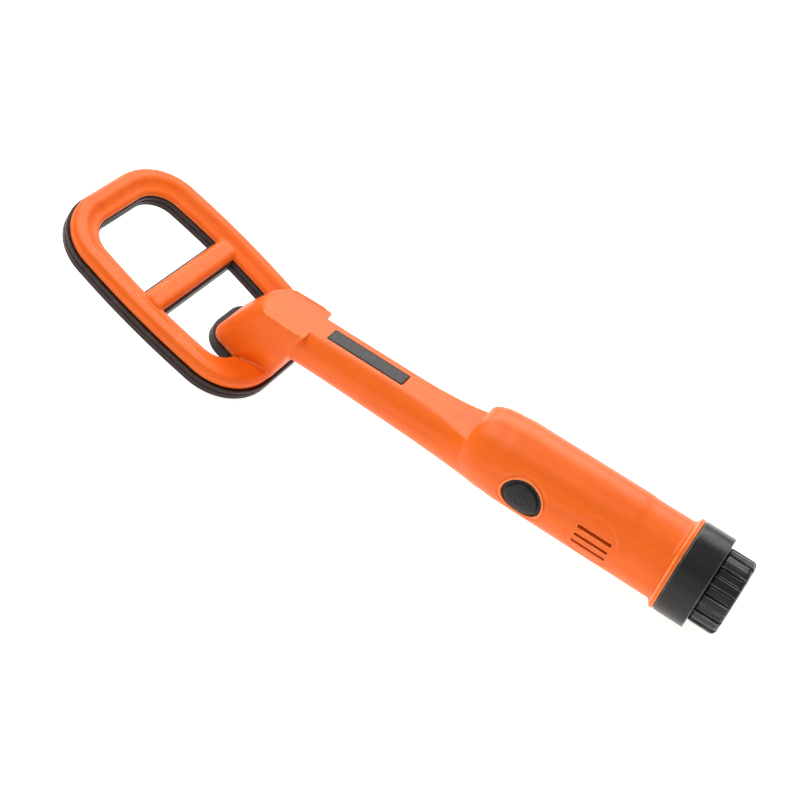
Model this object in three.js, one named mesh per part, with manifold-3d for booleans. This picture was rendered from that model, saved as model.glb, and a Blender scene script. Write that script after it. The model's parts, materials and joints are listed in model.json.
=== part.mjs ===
// Handheld coil detector: a round handle with a battery cap at one end and, on a tapering neck,
// a rectangular search-coil frame with a crossbar at the other.
// Millimetres, +Z up. Everything is drawn in the handle's own frame, where X runs along the handle
// axis towards the battery cap, and the last lines lay the whole object down on the ground.
import * as THREE from "three";
import { mergeVertices } from "three/addons/utils/BufferGeometryUtils.js";
import Module from "manifold-3d";

const wasm = await Module();
wasm.setup();

// ---------------------------------------------------------------- driving dimensions
const GAP = 0.3; // air between pieces that touch
const HALF_TURN = Math.PI;
const FULL_TURN = 2 * Math.PI;

// handle
const BODY_RADIUS = 21;
const BORE_RADIUS = 17.9;
const BORE_END_X = -106;
const FLANGE_RADIUS = 24;
const FLANGE_X = -GAP;
const SPIGOT_RADIUS = 20.2;
const SPIGOT_END_X = 11.6;
const FLAT_Z = 6.5; // height of the flat along the top of the neck
const FLAT_END_X = -115.1;
const SHOULDER_X = -100; // where the body reaches its full height
const NECK_START_X = -228; // buried in the block
const NECK_BORE_RADIUS = 8;
const NECK_BORE_END_X = -112;
const NECK_AXIS_Z = -4.9;
const GRIP_PAD_HEIGHT = 0.45; // raised area on the upper half of the body
const GRIP_PAD_END_X = -26;

// screw thread between the handle and its cap
const THREAD_PITCH = 3.2;
const THREAD_TURNS = 1.6;
const THREAD_START_X = 4.6;
const THREAD_HEIGHT = 0.9;
const THREAD_ROOT_HALF = 0.6; // half widths of the ridge at its root and at its tip
const THREAD_TIP_HALF = 0.3;
const SEAL_GROOVE = { x0: 1, x1: 3.3, radius: 19.1 };
const O_RING_RADIUS = 0.85;

// battery cap
const CAP_LENGTH = 15.75;
const CAP_BORE_RADIUS = 21.4;
const CAP_FLOOR_X = 13.6;
const KNOB_END_X = 30.05;
const KNOB_RADIUS = 19.6;
const KNOB_ROOT_RADIUS = 18.7;
const KNOB_RIBS = 12;
const KNOB_FIRST_RIB = THREE.MathUtils.degToRad(4);
const KNOB_RIB_SHARE = 0.44; // of each pitch
const KNOB_HOLLOW_RADIUS = 15;
const KNOB_HOLLOW_END_X = 27.2;

// coil frame, in its own frame: X towards the cap, Z (called n) square to its underside
const LOOP_CENTRE = new THREE.Vector3(-286.85, 0, -19.89);
const LOOP_TILT = 0.307;
const OUTER = { front: -66.45, rear: 66.45, frontWidth: 44.9, rearWidth: 44.8, frontRadius: 30.3,
  rearRadius: 31.5, bow: 1.48 };
const WINDOW = { front: -49.75, rear: 43.95, frontWidth: 28.2, rearWidth: 28.1, frontRadius: 15,
  rearRadius: 12.3, bow: 1.53 };
const SEAM_N = 7; // height of the joint between the black cover and the orange shell
const SHELL_TOP_N = 13.2;
const COVER_WALL = 1.8;
const CROSSBAR_X = -1.4;
const CROSSBAR_HALF = 7.5;
const CROSSBAR_TOP_N = 11.6;
const FOOT_N = 9.3; // top of the plate that the block stands on
const EDGE = 0.6; // small chamfer along the underside

// block between the coil frame and the neck
const BLOCK_TOP_FRONT = { x: -231, y: 3, r: 10.5 };
const BLOCK_TOP_REAR = { x: -212, y: 11.8, r: 2 };
const BLOCK_BASE_FRONT = { x: 35.2, y: 9.9, r: 7.6 };
const BLOCK_BASE_MIDDLE = { x: 44.5, y: 8, r: 10 };
const BLOCK_BASE_REAR = { x: 62.2, y: 11, r: 2.8 };
const TONGUE_FRONT = { x: 37.5, y: 5.5, r: 12.5 }; // the black cover runs a little ahead of the block
const TONGUE_LEDGE = 1; // wall that the cover's hollow leaves inside the block's outline
const BLOCK_WALL = 2.6;
const FOOT_SCREWS = [[34.5, -8.5], [34.5, 8.5], [49.5, -12], [49.5, 12]];
const FOOT_SCREW_RADIUS = 1.3;
const FOOT_SCREW_TIP_N = 18;
const FOOT_BOSS_RADIUS = 3.4;
const FOOT_BOSS_TOP_N = 24;

// power button, sounder and label
const BUTTON_X = -77.5;
const BUTTON_HALF_LENGTH = 10.4;
const BUTTON_HALF_HEIGHT = 9.5;
const BUTTON_TOP_RADIUS = 22;
const BUTTON_SEAT_Y = -17;
const BUTTON_BOSS_Y = -14.6;
const BUTTON_BOSS_RADIUS = 12.6;
const BUTTON_RECESS_RADIUS = 13.3;
const BUTTON_STEM_RADIUS = 3;
const BUTTON_STEM_END_Y = -14.3;
const BUTTON_SEAL = { y0: -16.1, y1: -15.5, radius: 4.6 };
const SOUNDER_X = -39.2;
const SOUNDER_RADIUS = 8.7;
const SOUNDER_POCKET_Y = -17.6;
const SOUNDER_RECESS_RADIUS = 14;
const SLOT_LENGTH = 18.5;
const SLOT_HEIGHT = 1.5;
const SLOT_PITCH = 4.7;
const LABEL = { x0: -201.6, x1: -157.3, half: 4.15 };
const LABEL_MARGIN = 0.2;
const LABEL_DEPTH = 0.5;

// electronics
const BOARD = { x0: -102, x1: -48.5, y0: -6, y1: -4.4, half: 13.5 };
const BOARD_POSTS = [[-98.5, -10.8], [-98.5, 10.8], [-52, -10.8], [-52, 10.8]];
const TRAY_Y = 9.1;
const TRAY_THICKNESS = 2;
const TRAY_HALF = 12.5;
const BATTERY = { x0: -37, x1: 9.4, halfThickness: 8.7, halfWidth: 13.2, corner: 2 };
const MOTOR = { x0: -92, x1: -78, y: 2.6, z: 0, r: 3.5 };
const CABLE_RADIUS = 2.2;
const GROMMET_RADIUS = 3.3;
const GROMMET_LIP_RADIUS = 5.4;

// ---------------------------------------------------------------- materials
const plastic = (color, roughness) => new THREE.MeshStandardMaterial({ color, roughness, metalness: 0 });
const metal = (color, roughness) => new THREE.MeshStandardMaterial({ color, roughness, metalness: 1 });
const ORANGE = 0xf8702f;
const COVER_BLACK = 0x3a3230;
const CAP_BLACK = 0x46474a;
const RUBBER_BLACK = 0x343634;
const STEEL = 0xb9bcc0;

// ---------------------------------------------------------------- solids and booleans
// A three.js geometry as a manifold-3d solid, facing out.
function solid(geometry) {
  const bare = new THREE.BufferGeometry().setAttribute("position", geometry.getAttribute("position"));
  if (geometry.index) bare.setIndex(geometry.index);
  const merged = mergeVertices(bare, 1e-4);
  const index = merged.index.array;
  const triangles = [];
  for (let i = 0; i < index.length; i += 3) {
    const [a, b, c] = index.slice(i, i + 3);
    if (a !== b && b !== c && c !== a) triangles.push(a, b, c);
  }
  const build = (order) =>
    new wasm.Manifold(new wasm.Mesh({
      numProp: 3,
      vertProperties: new Float32Array(merged.getAttribute("position").array),
      triVerts: new Uint32Array(order),
    }));
  const first = build(triangles);
  return first.volume() > 0 ? first : build(triangles.reverse());
}

// A manifold-3d solid as a three.js geometry.
function geometryOf(shape) {
  const mesh = shape.getMesh();
  const geometry = new THREE.BufferGeometry();
  geometry.setAttribute("position", new THREE.BufferAttribute(new Float32Array(mesh.vertProperties), 3));
  geometry.setIndex(new THREE.BufferAttribute(new Uint32Array(mesh.triVerts), 1));
  geometry.computeVertexNormals();
  return geometry;
}

const join = (...shapes) => wasm.Manifold.union(shapes.flat());
const cut = (shape, ...tools) => shape.subtract(join(tools.flat()));
const common = (...shapes) => wasm.Manifold.intersection(shapes.flat());
const hull = (points) => wasm.Manifold.hull(points.map((p) => [p.x, p.y, p.z]));

function box(x0, x1, y0, y1, z0, z1) {
  const geometry = new THREE.BoxGeometry(x1 - x0, y1 - y0, z1 - z0);
  return solid(geometry.translate((x0 + x1) / 2, (y0 + y1) / 2, (z0 + z1) / 2));
}

// Cylinder from a to b along one axis; along X the centre is (y, z), along Y (x, z), along Z (x, y).
function rod(axis, radius, a, b, centre = [0, 0], segments = 32, endRadius = radius) {
  const geometry = new THREE.CylinderGeometry(endRadius, radius, b - a, segments);
  geometry.translate(0, (a + b) / 2, 0);
  if (axis === "x") geometry.rotateZ(-HALF_TURN / 2).translate(0, centre[0], centre[1]);
  if (axis === "y") geometry.translate(centre[0], 0, centre[1]);
  if (axis === "z") geometry.rotateX(HALF_TURN / 2).translate(centre[0], centre[1], 0);
  return solid(geometry);
}

// Solid of revolution about the X axis from closed [radius, x] points.
function turned(points, segments = 64) {
  const profile = [...points, points[0]].map(([radius, x]) => new THREE.Vector2(radius, x));
  return solid(new THREE.LatheGeometry(profile, segments).rotateZ(-HALF_TURN / 2));
}

// Tube along a smooth curve through points.
function tube(points, radius, steps) {
  const shape = new THREE.Shape().absarc(0, 0, radius, 0, FULL_TURN);
  const extrudePath = new THREE.CatmullRomCurve3(points.map((p) => new THREE.Vector3(...p)));
  const options = { steps, extrudePath, bevelEnabled: false, curveSegments: 5 };
  return solid(new THREE.ExtrudeGeometry(shape, options));
}

// Solid through rings of points: capped at both ends, or running round and closed on itself.
function loft(rings, closed = false) {
  const count = rings[0].length;
  const positions = rings.flat().flatMap((p) => [p.x, p.y, p.z]);
  const index = [];
  const spans = closed ? rings.length : rings.length - 1;
  for (let i = 0; i < spans; i++) {
    const a = i * count;
    const b = ((i + 1) % rings.length) * count;
    for (let j = 0; j < count; j++) {
      const k = (j + 1) % count;
      index.push(a + j, b + j, b + k, a + j, b + k, a + k);
    }
  }
  if (!closed) {
    const last = (rings.length - 1) * count;
    for (let j = 1; j < count - 1; j++) index.push(0, j, j + 1, last, last + j + 1, last + j);
  }
  const geometry = new THREE.BufferGeometry();
  geometry.setAttribute("position", new THREE.Float32BufferAttribute(positions, 3));
  geometry.setIndex(index);
  return solid(geometry);
}

// Smooth curve value(x) through [x, value] points that never overshoots between them.
function profile(points) {
  const slope = (i) => (points[i + 1][1] - points[i][1]) / (points[i + 1][0] - points[i][0]);
  const tangent = (i) => {
    if (i === 0 || i === points.length - 1) return 0;
    const [before, after] = [slope(i - 1), slope(i)];
    return before * after <= 0 ? 0 : (2 * before * after) / (before + after);
  };
  return (x) => {
    if (x <= points[0][0]) return points[0][1];
    const i = points.findIndex(([end]) => x < end) - 1;
    if (i < 0) return points.at(-1)[1];
    const width = points[i + 1][0] - points[i][0];
    const t = (x - points[i][0]) / width;
    const rise = points[i + 1][1] - points[i][1];
    const ease = t * t * (3 - 2 * t);
    const lean = tangent(i) * t * (1 - t) ** 2 + tangent(i + 1) * t * t * (t - 1);
    return points[i][1] + rise * ease + width * lean;
  };
}

// ---------------------------------------------------------------- assembly groups
const part = new THREE.Group();
const handle = new THREE.Group();
const coil = new THREE.Group();
coil.position.copy(LOOP_CENTRE);
coil.rotation.y = LOOP_TILT;
part.add(handle);
handle.add(coil);

function add(group, name, shape, material) {
  const mesh = new THREE.Mesh(geometryOf(shape), material);
  mesh.name = name;
  group.add(mesh);
}

const loopMatrix = new THREE.Matrix4().makeRotationY(LOOP_TILT).setPosition(LOOP_CENTRE);
const handleMatrix = loopMatrix.clone().invert();
const moved = (shape, matrix) => shape.transform(matrix.elements);

// ---------------------------------------------------------------- outlines
// Points of an arc about (x, y), angles in radians.
function arc(x, y, radius, from, to, steps) {
  const at = (i) => from + ((to - from) * i) / steps;
  return Array.from({ length: steps + 1 }, (_, i) =>
    new THREE.Vector2(x + radius * Math.cos(at(i)), y + radius * Math.sin(at(i))));
}

// Closed outline of the coil frame or its window, with bowed sides, symmetrical about X.
function frameOutline({ front, rear, frontWidth, rearWidth, frontRadius, rearRadius, bow }) {
  const frontX = front + frontRadius;
  const rearX = rear - rearRadius;
  const sideSteps = 5;
  const half = arc(frontX, frontWidth - frontRadius, frontRadius, HALF_TURN, HALF_TURN / 2, 8);
  for (let i = 1; i < sideSteps; i++) {
    const t = i / sideSteps;
    const y = frontWidth + (rearWidth - frontWidth) * t + 4 * bow * t * (1 - t);
    half.push(new THREE.Vector2(frontX + (rearX - frontX) * t, y));
  }
  half.push(...arc(rearX, rearWidth - rearRadius, rearRadius, HALF_TURN / 2, 0, 8));
  return [...half, ...half.map((p) => new THREE.Vector2(p.x, -p.y)).reverse()];
}
const outerOutline = frameOutline(OUTER);
const windowOutline = frameOutline(WINDOW);
const RAIL_WIDTH = WINDOW.front - OUTER.front;

// Ring-shaped solid that follows the rail: section points are [distance in from the outer edge, n].
function railRing(section) {
  const ring = (i) => section.map(([inset, n]) => {
    const p = outerOutline[i].clone().lerp(windowOutline[i], inset / RAIL_WIDTH);
    return new THREE.Vector3(p.x, p.y, n);
  });
  return loft(outerOutline.map((_, i) => ring(i)), true);
}

// Circles of a mirrored outline as points at one height, each circle grown by the same amount.
function circlePoints(circles, z, grow) {
  return circles.flatMap(({ x, y, r }) =>
    [y, -y].flatMap((side) => arc(x, side, Math.max(r + grow, 0.05), 0, FULL_TURN, 20)
      .map((p) => new THREE.Vector3(p.x, p.y, z))));
}

// The block: base outline in the coil frame, top outline in the handle frame, soft upper edge.
function blockHull(grow, topZ, baseN) {
  const base = circlePoints([BLOCK_BASE_FRONT, BLOCK_BASE_MIDDLE, BLOCK_BASE_REAR], baseN, grow);
  const top = [[0, -1.4], [0.4, -0.5], [1.4, 0]].flatMap(([drop, inset]) =>
    circlePoints([BLOCK_TOP_FRONT, BLOCK_TOP_REAR], topZ - drop, grow + inset));
  return hull([...base.map((p) => p.applyMatrix4(loopMatrix)), ...top]);
}

// ---------------------------------------------------------------- handle housing
const sectionRadius = profile([[-215, 13.4], [-150, 14], [-129, 14.9], [FLAT_END_X, 16.4],
  [-106, 18.2], [-98, 20], [-90, BODY_RADIUS]]);
const shoulderRadius = profile([[-115.3, 14.6], [-114.3, 16.2], [-112.8, 17.6], [-110.5, 18.95],
  [-105.5, 20.3], [SHOULDER_X, 20.85], [-94, BODY_RADIUS]]);
const sectionBottom = profile([[-215, -18], [-147, -19.4], [-115, -20.5], [-85, -BODY_RADIUS]]);
const flangeRadius = profile([[-6.4, BODY_RADIUS], [-3.8, 21.7], [-2.4, FLANGE_RADIUS - 0.25],
  [-2, FLANGE_RADIUS]]);

// The flat along the neck, ending in a rounded shoulder.
function flatHeight(x) {
  if (x <= FLAT_END_X) return FLAT_Z;
  if (x >= SHOULDER_X) return FLANGE_RADIUS + 1;
  const t = (SHOULDER_X - x) / (SHOULDER_X - FLAT_END_X);
  const rise = BODY_RADIUS - FLAT_Z;
  return FLAT_Z + rise * (1 - t ** 2.4) ** (1 / 2.4);
}

// Reach of the body's rounded end from a centre below its axis, at an angle from straight up.
function shoulderReach(x, centreZ, angle) {
  if (x <= FLAT_END_X || x > -85) return 0;
  const across = centreZ * Math.sin(angle);
  return -centreZ * Math.cos(angle) + Math.sqrt(shoulderRadius(x) ** 2 - across ** 2);
}

// One ring of the handle's outside: a circle with its top sliced flat.
function handleRing(x) {
  const radius = Math.max(sectionRadius(x), x > -10 ? flangeRadius(x) : 0);
  const centreZ = x > -85 ? 0 : sectionBottom(x) + radius;
  const cosine = THREE.MathUtils.clamp((flatHeight(x) - centreZ) / radius, -1, 1);
  const edge = Math.max(Math.acos(cosine), 0.3);
  const topSteps = 8;
  const roundSteps = 30;
  const angles = [];
  for (let i = 0; i < topSteps; i++) angles.push(-edge + (2 * edge * i) / topSteps);
  for (let i = 0; i < roundSteps; i++) angles.push(edge + ((FULL_TURN - 2 * edge) * i) / roundSteps);
  const along = THREE.MathUtils.smoothstep(x, SHOULDER_X, SHOULDER_X + 8) *
    (1 - THREE.MathUtils.smoothstep(x, GRIP_PAD_END_X - 1, GRIP_PAD_END_X + 3));
  return angles.map((angle) => {
    const around = THREE.MathUtils.smoothstep(Math.cos(angle), 0.25, 0.5);
    const round = Math.max(radius, shoulderReach(x, centreZ, angle));
    const reach = round + GRIP_PAD_HEIGHT * along * around;
    const z = Math.min(centreZ + reach * Math.cos(angle), flatHeight(x));
    return new THREE.Vector3(x, reach * Math.sin(angle), z);
  });
}

const ringStations = [NECK_START_X, -212, -190, -170, -150, -140, -134, -128, -123, -119, FLAT_END_X,
  -114.8, -114.2, -113.2, -112, -110.5, -108.5, -106.5, -104.5, -102.5, -101, SHOULDER_X, -96, -92,
  -75, -50, -32, -27, -25.5, -24, -22.5, -15, -6.4, -4.8, -3.8, -3, -2.4, -2, FLANGE_X];

// Helical ridge about the X axis, right-handed, between two radii.
function ridge(rootRadius, tipRadius, startX) {
  const steps = Math.round(24 * THREAD_TURNS);
  const rings = Array.from({ length: steps + 1 }, (_, i) => {
    const angle = (FULL_TURN * THREAD_TURNS * i) / steps;
    const x = startX + THREAD_PITCH * THREAD_TURNS * (i / steps);
    const fade = Math.min(1, (i + 0.5) / 3, (steps - i + 0.5) / 3); // the ends run out
    const tip = rootRadius + (tipRadius - rootRadius) * fade;
    const corner = (radius, dx) =>
      new THREE.Vector3(x + dx, radius * Math.cos(angle), radius * Math.sin(angle));
    return [corner(rootRadius, -THREAD_ROOT_HALF), corner(tip, -THREAD_TIP_HALF),
      corner(tip, THREAD_TIP_HALF), corner(rootRadius, THREAD_ROOT_HALF)];
  });
  return loft(rings);
}

function handleHousing() {
  const outside = loft(ringStations.map(handleRing));
  const spigot = turned([[BORE_RADIUS - 1, -4], [SPIGOT_RADIUS, -4], [SPIGOT_RADIUS, SPIGOT_END_X - 0.6],
    [SPIGOT_RADIUS - 0.6, SPIGOT_END_X], [BORE_RADIUS - 1, SPIGOT_END_X]]);
  const thread = ridge(SPIGOT_RADIUS - 0.3, SPIGOT_RADIUS + THREAD_HEIGHT, THREAD_START_X);
  const sealGroove = turned([[SEAL_GROOVE.radius, SEAL_GROOVE.x0], [22, SEAL_GROOVE.x0],
    [22, SEAL_GROOVE.x1], [SEAL_GROOVE.radius, SEAL_GROOVE.x1]]);
  const block = blockHull(0, FLAT_Z, FOOT_N + GAP);
  const blockHollow = blockHull(-BLOCK_WALL, FLAT_Z - BLOCK_WALL, FOOT_N - 1);
  const bore = rod("x", BORE_RADIUS, BORE_END_X, SPIGOT_END_X + 1, [0, 0], 40);
  const neckBore = rod("x", NECK_BORE_RADIUS, NECK_START_X - 2, NECK_BORE_END_X, [0, NECK_AXIS_Z], 24);
  const cableHole = rod("x", GROMMET_RADIUS + GAP, NECK_BORE_END_X - 1, BORE_END_X + 1,
    [0, NECK_AXIS_Z], 24);
  const bodyOuter = rod("x", BODY_RADIUS - 0.3, -95, -58, [0, 0], 40);
  const bossDisc = rod("y", BUTTON_BOSS_RADIUS, -BODY_RADIUS, BUTTON_BOSS_Y, [BUTTON_X, 0], 40);
  const buttonBoss = common(bossDisc, bodyOuter);
  const seatHalf = LABEL.half + LABEL_MARGIN;
  const plateSeat = box(LABEL.x0 - LABEL_MARGIN, LABEL.x1 + LABEL_MARGIN, -seatHalf, seatHalf,
    FLAT_Z - LABEL_DEPTH - GAP, FLAT_Z + 2);
  const screwBosses = FOOT_SCREWS.map((at) =>
    rod("z", FOOT_BOSS_RADIUS, FOOT_N + GAP, FOOT_BOSS_TOP_N, at, 20));
  const screwHoles = FOOT_SCREWS.map((at) =>
    rod("z", FOOT_SCREW_RADIUS + GAP, FOOT_N - 1, FOOT_SCREW_TIP_N + 2, at, 14));
  const hollowBlock = cut(block, blockHollow);
  const bosses = common(moved(join(screwBosses), loopMatrix), block);
  const shell = cut(join(outside, hollowBlock, spigot, thread), bore, neckBore, cableHole, sealGroove,
    plateSeat, common(blockHollow, block));
  const filled = join(shell, buttonBoss, bosses);
  return cut(filled, moved(join(screwHoles), loopMatrix), ...buttonCuts(), ...sounderCuts());
}

// Space outside a radius about the handle axis, within a round recess on the near side.
function curvedRecess(x, radius, floorRadius) {
  const disc = rod("y", radius, -BODY_RADIUS - 3, -8, [x, 0], 40);
  return cut(disc, rod("x", floorRadius, x - radius - 1, x + radius + 1, [0, 0], 56));
}

// Oval prism along Y on the button's centre.
function buttonOval(grow, y0, y1) {
  const round = new THREE.CylinderGeometry(1, 1, y1 - y0, 40).translate(0, (y0 + y1) / 2, 0);
  round.scale(BUTTON_HALF_LENGTH + grow, 1, BUTTON_HALF_HEIGHT + grow);
  return solid(round.translate(BUTTON_X, 0, 0));
}

function buttonCuts() {
  return [
    curvedRecess(BUTTON_X, BUTTON_RECESS_RADIUS, BODY_RADIUS - 0.5),
    buttonOval(GAP + 0.1, -BODY_RADIUS - 3, BUTTON_SEAT_Y),
    rod("y", BUTTON_STEM_RADIUS + GAP + 0.1, BUTTON_SEAT_Y - 1, BUTTON_BOSS_Y + 1, [BUTTON_X, 0], 24),
    rod("y", BUTTON_SEAL.radius + GAP, BUTTON_SEAL.y0 - GAP, BUTTON_SEAL.y1 + GAP, [BUTTON_X, 0], 24),
  ];
}

function sounderCuts() {
  const slots = [-1, 0, 1].map((row) =>
    box(SOUNDER_X - SLOT_LENGTH / 2, SOUNDER_X + SLOT_LENGTH / 2, -BODY_RADIUS - 2, -15,
      row * SLOT_PITCH - SLOT_HEIGHT / 2, row * SLOT_PITCH + SLOT_HEIGHT / 2));
  return [
    curvedRecess(SOUNDER_X, SOUNDER_RECESS_RADIUS, BODY_RADIUS - 0.4),
    rod("y", SOUNDER_RADIUS + GAP, SOUNDER_POCKET_Y, -10, [SOUNDER_X, 0], 40),
    ...slots,
  ];
}

add(handle, "handle_housing", handleHousing(), plastic(ORANGE, 0.38));
add(handle, "label_plate",
  box(LABEL.x0, LABEL.x1, -LABEL.half, LABEL.half, FLAT_Z - LABEL_DEPTH, FLAT_Z + 0.1),
  plastic(0x655653, 0.5));

// ---------------------------------------------------------------- coil frame
const shellSection = [[1.4, SEAM_N + GAP], [1.5, 11.4], [2.2, 12.7], [3.6, SHELL_TOP_N], [7.2, 13],
  [8.7, 12.2], [11, 9.9], [12.4, 9.2], [14.4, 8.9], [15.6, 8.3], [16.1, SEAM_N + GAP]];
const shellHollow = [[3.3, SEAM_N], [3.3, 11.2], [7.3, 11.2], [10.3, 8.3], [13.8, SEAM_N]];
const coverSection = [[EDGE, 0], [0, EDGE], [0, SEAM_N], [RAIL_WIDTH, SEAM_N], [RAIL_WIDTH, EDGE],
  [RAIL_WIDTH - EDGE, 0]];
const coverHollow = [[COVER_WALL, COVER_WALL], [COVER_WALL, SEAM_N + 1],
  [RAIL_WIDTH - COVER_WALL, SEAM_N + 1], [RAIL_WIDTH - COVER_WALL, COVER_WALL]];

// Crossbar solid from a half section of [half width, n] points, spanning the window.
function crossbar(section, halfSpan) {
  const outline = [...section, ...section.map(([w, n]) => [-w, n]).reverse()];
  const ring = (y) => outline.map(([w, n]) => new THREE.Vector3(CROSSBAR_X + w, y, n));
  return loft([ring(-halfSpan), ring(halfSpan)]);
}

// Prism under the block's foot, the coil frame's tongue into the rear window.
function tongue(n0, n1, grow) {
  const circles = [BLOCK_BASE_FRONT, BLOCK_BASE_MIDDLE, BLOCK_BASE_REAR];
  return hull([...circlePoints(circles, n0, grow), ...circlePoints(circles, n1, grow)]);
}

function coilUpperShell() {
  const barHalf = CROSSBAR_HALF - 1.3;
  const bar = crossbar([[barHalf, SEAM_N + GAP], [barHalf, 8.8], [barHalf - 0.8, 10.3],
    [barHalf - 2.6, 11.3], [1.2, CROSSBAR_TOP_N]], 35);
  const barHollow = crossbar([[barHalf - 2, SEAM_N], [barHalf - 2, 9.6]], 33);
  const footSpace = cut(moved(blockHull(GAP, FLAT_Z, FOOT_N), handleMatrix),
    box(0, 80, -40, 40, -5, FOOT_N));
  const plate = tongue(SEAM_N + GAP, FOOT_N, -0.2);
  const rail = cut(railRing(shellSection), railRing(shellHollow));
  const holes = FOOT_SCREWS.map((at) => rod("z", 1.7, 0, 15, at, 14));
  const cablePort = rod("z", 4.5, 0, 15, [47, 0], 24);
  return cut(join(cut(join(rail, bar), footSpace, barHollow), plate), holes, cablePort);
}

function coilLowerCover() {
  const half = CROSSBAR_HALF;
  const inner = CROSSBAR_HALF - COVER_WALL;
  const bar = crossbar([[half - EDGE, 0], [half, EDGE], [half, SEAM_N]], 33);
  const barHollow = crossbar([[inner, COVER_WALL], [inner, SEAM_N + 1]], 33);
  const circles = [TONGUE_FRONT, BLOCK_BASE_MIDDLE, BLOCK_BASE_REAR];
  const nose = hull([...circlePoints(circles, 0, 0.2 - EDGE), ...circlePoints(circles, EDGE, 0.2),
    ...circlePoints(circles, SEAM_N, 0.2)]);
  const noseHollow = tongue(COVER_WALL, SEAM_N + 1, -TONGUE_LEDGE);
  return cut(join(railRing(coverSection), bar, nose), railRing(coverHollow), barHollow, noseHollow);
}

add(coil, "coil_upper_shell", coilUpperShell(), plastic(ORANGE, 0.38));
add(coil, "coil_lower_cover", coilLowerCover(), plastic(COVER_BLACK, 0.5));
add(coil, "search_coil_winding", railRing([[4.2, 2.3], [4.2, 6.4], [9.4, 6.4], [9.4, 2.3]]),
  metal(0xb4622d, 0.4));

// Pan-head screw pointing up: head from n0 to n1, shank to the tip.
function screwUp(x, y, headRadius, n0, n1, shankRadius, tip) {
  const head = rod("z", headRadius, n0, n1, [x, y], 18);
  const slot = box(x - headRadius, x + headRadius, y - 0.4, y + 0.4, n0 - 1, n0 + 0.7);
  const shank = rod("z", shankRadius, n1 - 0.1, tip, [x, y], 12);
  return cut(join(head, shank), slot);
}
FOOT_SCREWS.forEach(([x, y], i) =>
  add(coil, `foot_screw_${i + 1}`, screwUp(x, y, 2.8, 5, SEAM_N, FOOT_SCREW_RADIUS, FOOT_SCREW_TIP_N),
    metal(STEEL, 0.35)));

add(coil, "coil_terminal_board", cut(box(39, 55, -6.5, 6.5, 11, 12.6), rod("z", 3, 10, 14, [44, 0], 20)),
  plastic(0x1f5c3a, 0.45));

// ---------------------------------------------------------------- coil cable and grommet
add(handle, "coil_cable", tube([[-240, 0, -17], [-236, 0, -11.5], [-229, 0, -6.5], [-219, 0, NECK_AXIS_Z],
  [-190, 0, NECK_AXIS_Z], [-150, 0, NECK_AXIS_Z], [-112, 0, NECK_AXIS_Z], [-105, 0, NECK_AXIS_Z]],
  CABLE_RADIUS, 22), plastic(0x1d1d1f, 0.6));
const grommetBore = CABLE_RADIUS + GAP;
const lipX = BORE_END_X + GAP;
add(handle, "cable_grommet", turned([[grommetBore, NECK_BORE_END_X + 0.5],
  [GROMMET_RADIUS, NECK_BORE_END_X + 0.5], [GROMMET_RADIUS, lipX], [GROMMET_LIP_RADIUS, lipX],
  [GROMMET_LIP_RADIUS, lipX + 1.1], [grommetBore, lipX + 1.1]], 28).translate([0, 0, NECK_AXIS_Z]),
  plastic(0x18181a, 0.85));

// ---------------------------------------------------------------- power button
function powerButton() {
  // ovals that step in towards the top, each under its own radius about the handle axis
  const slices = [[0, BUTTON_TOP_RADIUS - 0.9], [-0.5, BUTTON_TOP_RADIUS - 0.3],
    [-1.2, BUTTON_TOP_RADIUS]];
  const underside = BUTTON_SEAT_Y - 1.1;
  const face = slices.map(([grow, radius]) => common(
    buttonOval(grow, -BODY_RADIUS - 3, underside),
    rod("x", radius, BUTTON_X - 14, BUTTON_X + 14, [0, 0], 48)));
  const stem = rod("y", BUTTON_STEM_RADIUS, underside - 0.4, BUTTON_STEM_END_Y, [BUTTON_X, 0], 20);
  return join(face, stem);
}
add(handle, "power_button", powerButton(), plastic(RUBBER_BLACK, 0.75));

function ring(axis, inner, outer, a, b, centre, segments) {
  return cut(rod(axis, outer, a, b, centre, segments), rod(axis, inner, a - 1, b + 1, centre, segments));
}
add(handle, "button_seal", ring("y", BUTTON_STEM_RADIUS + 0.25, BUTTON_SEAL.radius, BUTTON_SEAL.y0,
  BUTTON_SEAL.y1, [BUTTON_X, 0], 24), plastic(0x202022, 0.9));

// ---------------------------------------------------------------- sounder
const membraneY = SOUNDER_POCKET_Y + GAP;
const discY = membraneY + 0.4 + GAP;
add(handle, "sounder_membrane", rod("y", SOUNDER_RADIUS, membraneY, membraneY + 0.4, [SOUNDER_X, 0], 32),
  plastic(0xdedad2, 0.8));
const sounderPins = [5, -5].map((z) => rod("y", 1.2, discY + 2.5, discY + 3, [SOUNDER_X, z], 12));
add(handle, "piezo_sounder", join(rod("y", SOUNDER_RADIUS, discY, discY + 2.6, [SOUNDER_X, 0], 32),
  sounderPins), plastic(0x1b1b1d, 0.5));

// ---------------------------------------------------------------- tray and circuit board
function electronicsTray() {
  const plate = box(-104.5, 9, TRAY_Y, TRAY_Y + TRAY_THICKNESS, -TRAY_HALF, TRAY_HALF);
  const wall = cut(box(-46, -44.5, -11, TRAY_Y + 0.5, -TRAY_HALF, TRAY_HALF),
    box(-47, -43, -12, -3, -6, 6));
  const posts = BOARD_POSTS.map((at) => rod("y", 2.3, BOARD.y1 + GAP, TRAY_Y + 0.5, at, 16));
  const postHoles = BOARD_POSTS.map((at) => rod("y", 1.2, BOARD.y1 - 1, 4, at, 12));
  const saddle = cut(box(MOTOR.x0 + 2, MOTOR.x1 - 2, MOTOR.y, TRAY_Y + 0.5, -4.8, 4.8),
    rod("x", MOTOR.r + GAP, MOTOR.x0 - 1, MOTOR.x1 + 1, [MOTOR.y, MOTOR.z], 28));
  return cut(join(plate, wall, posts, saddle), postHoles);
}
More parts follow.
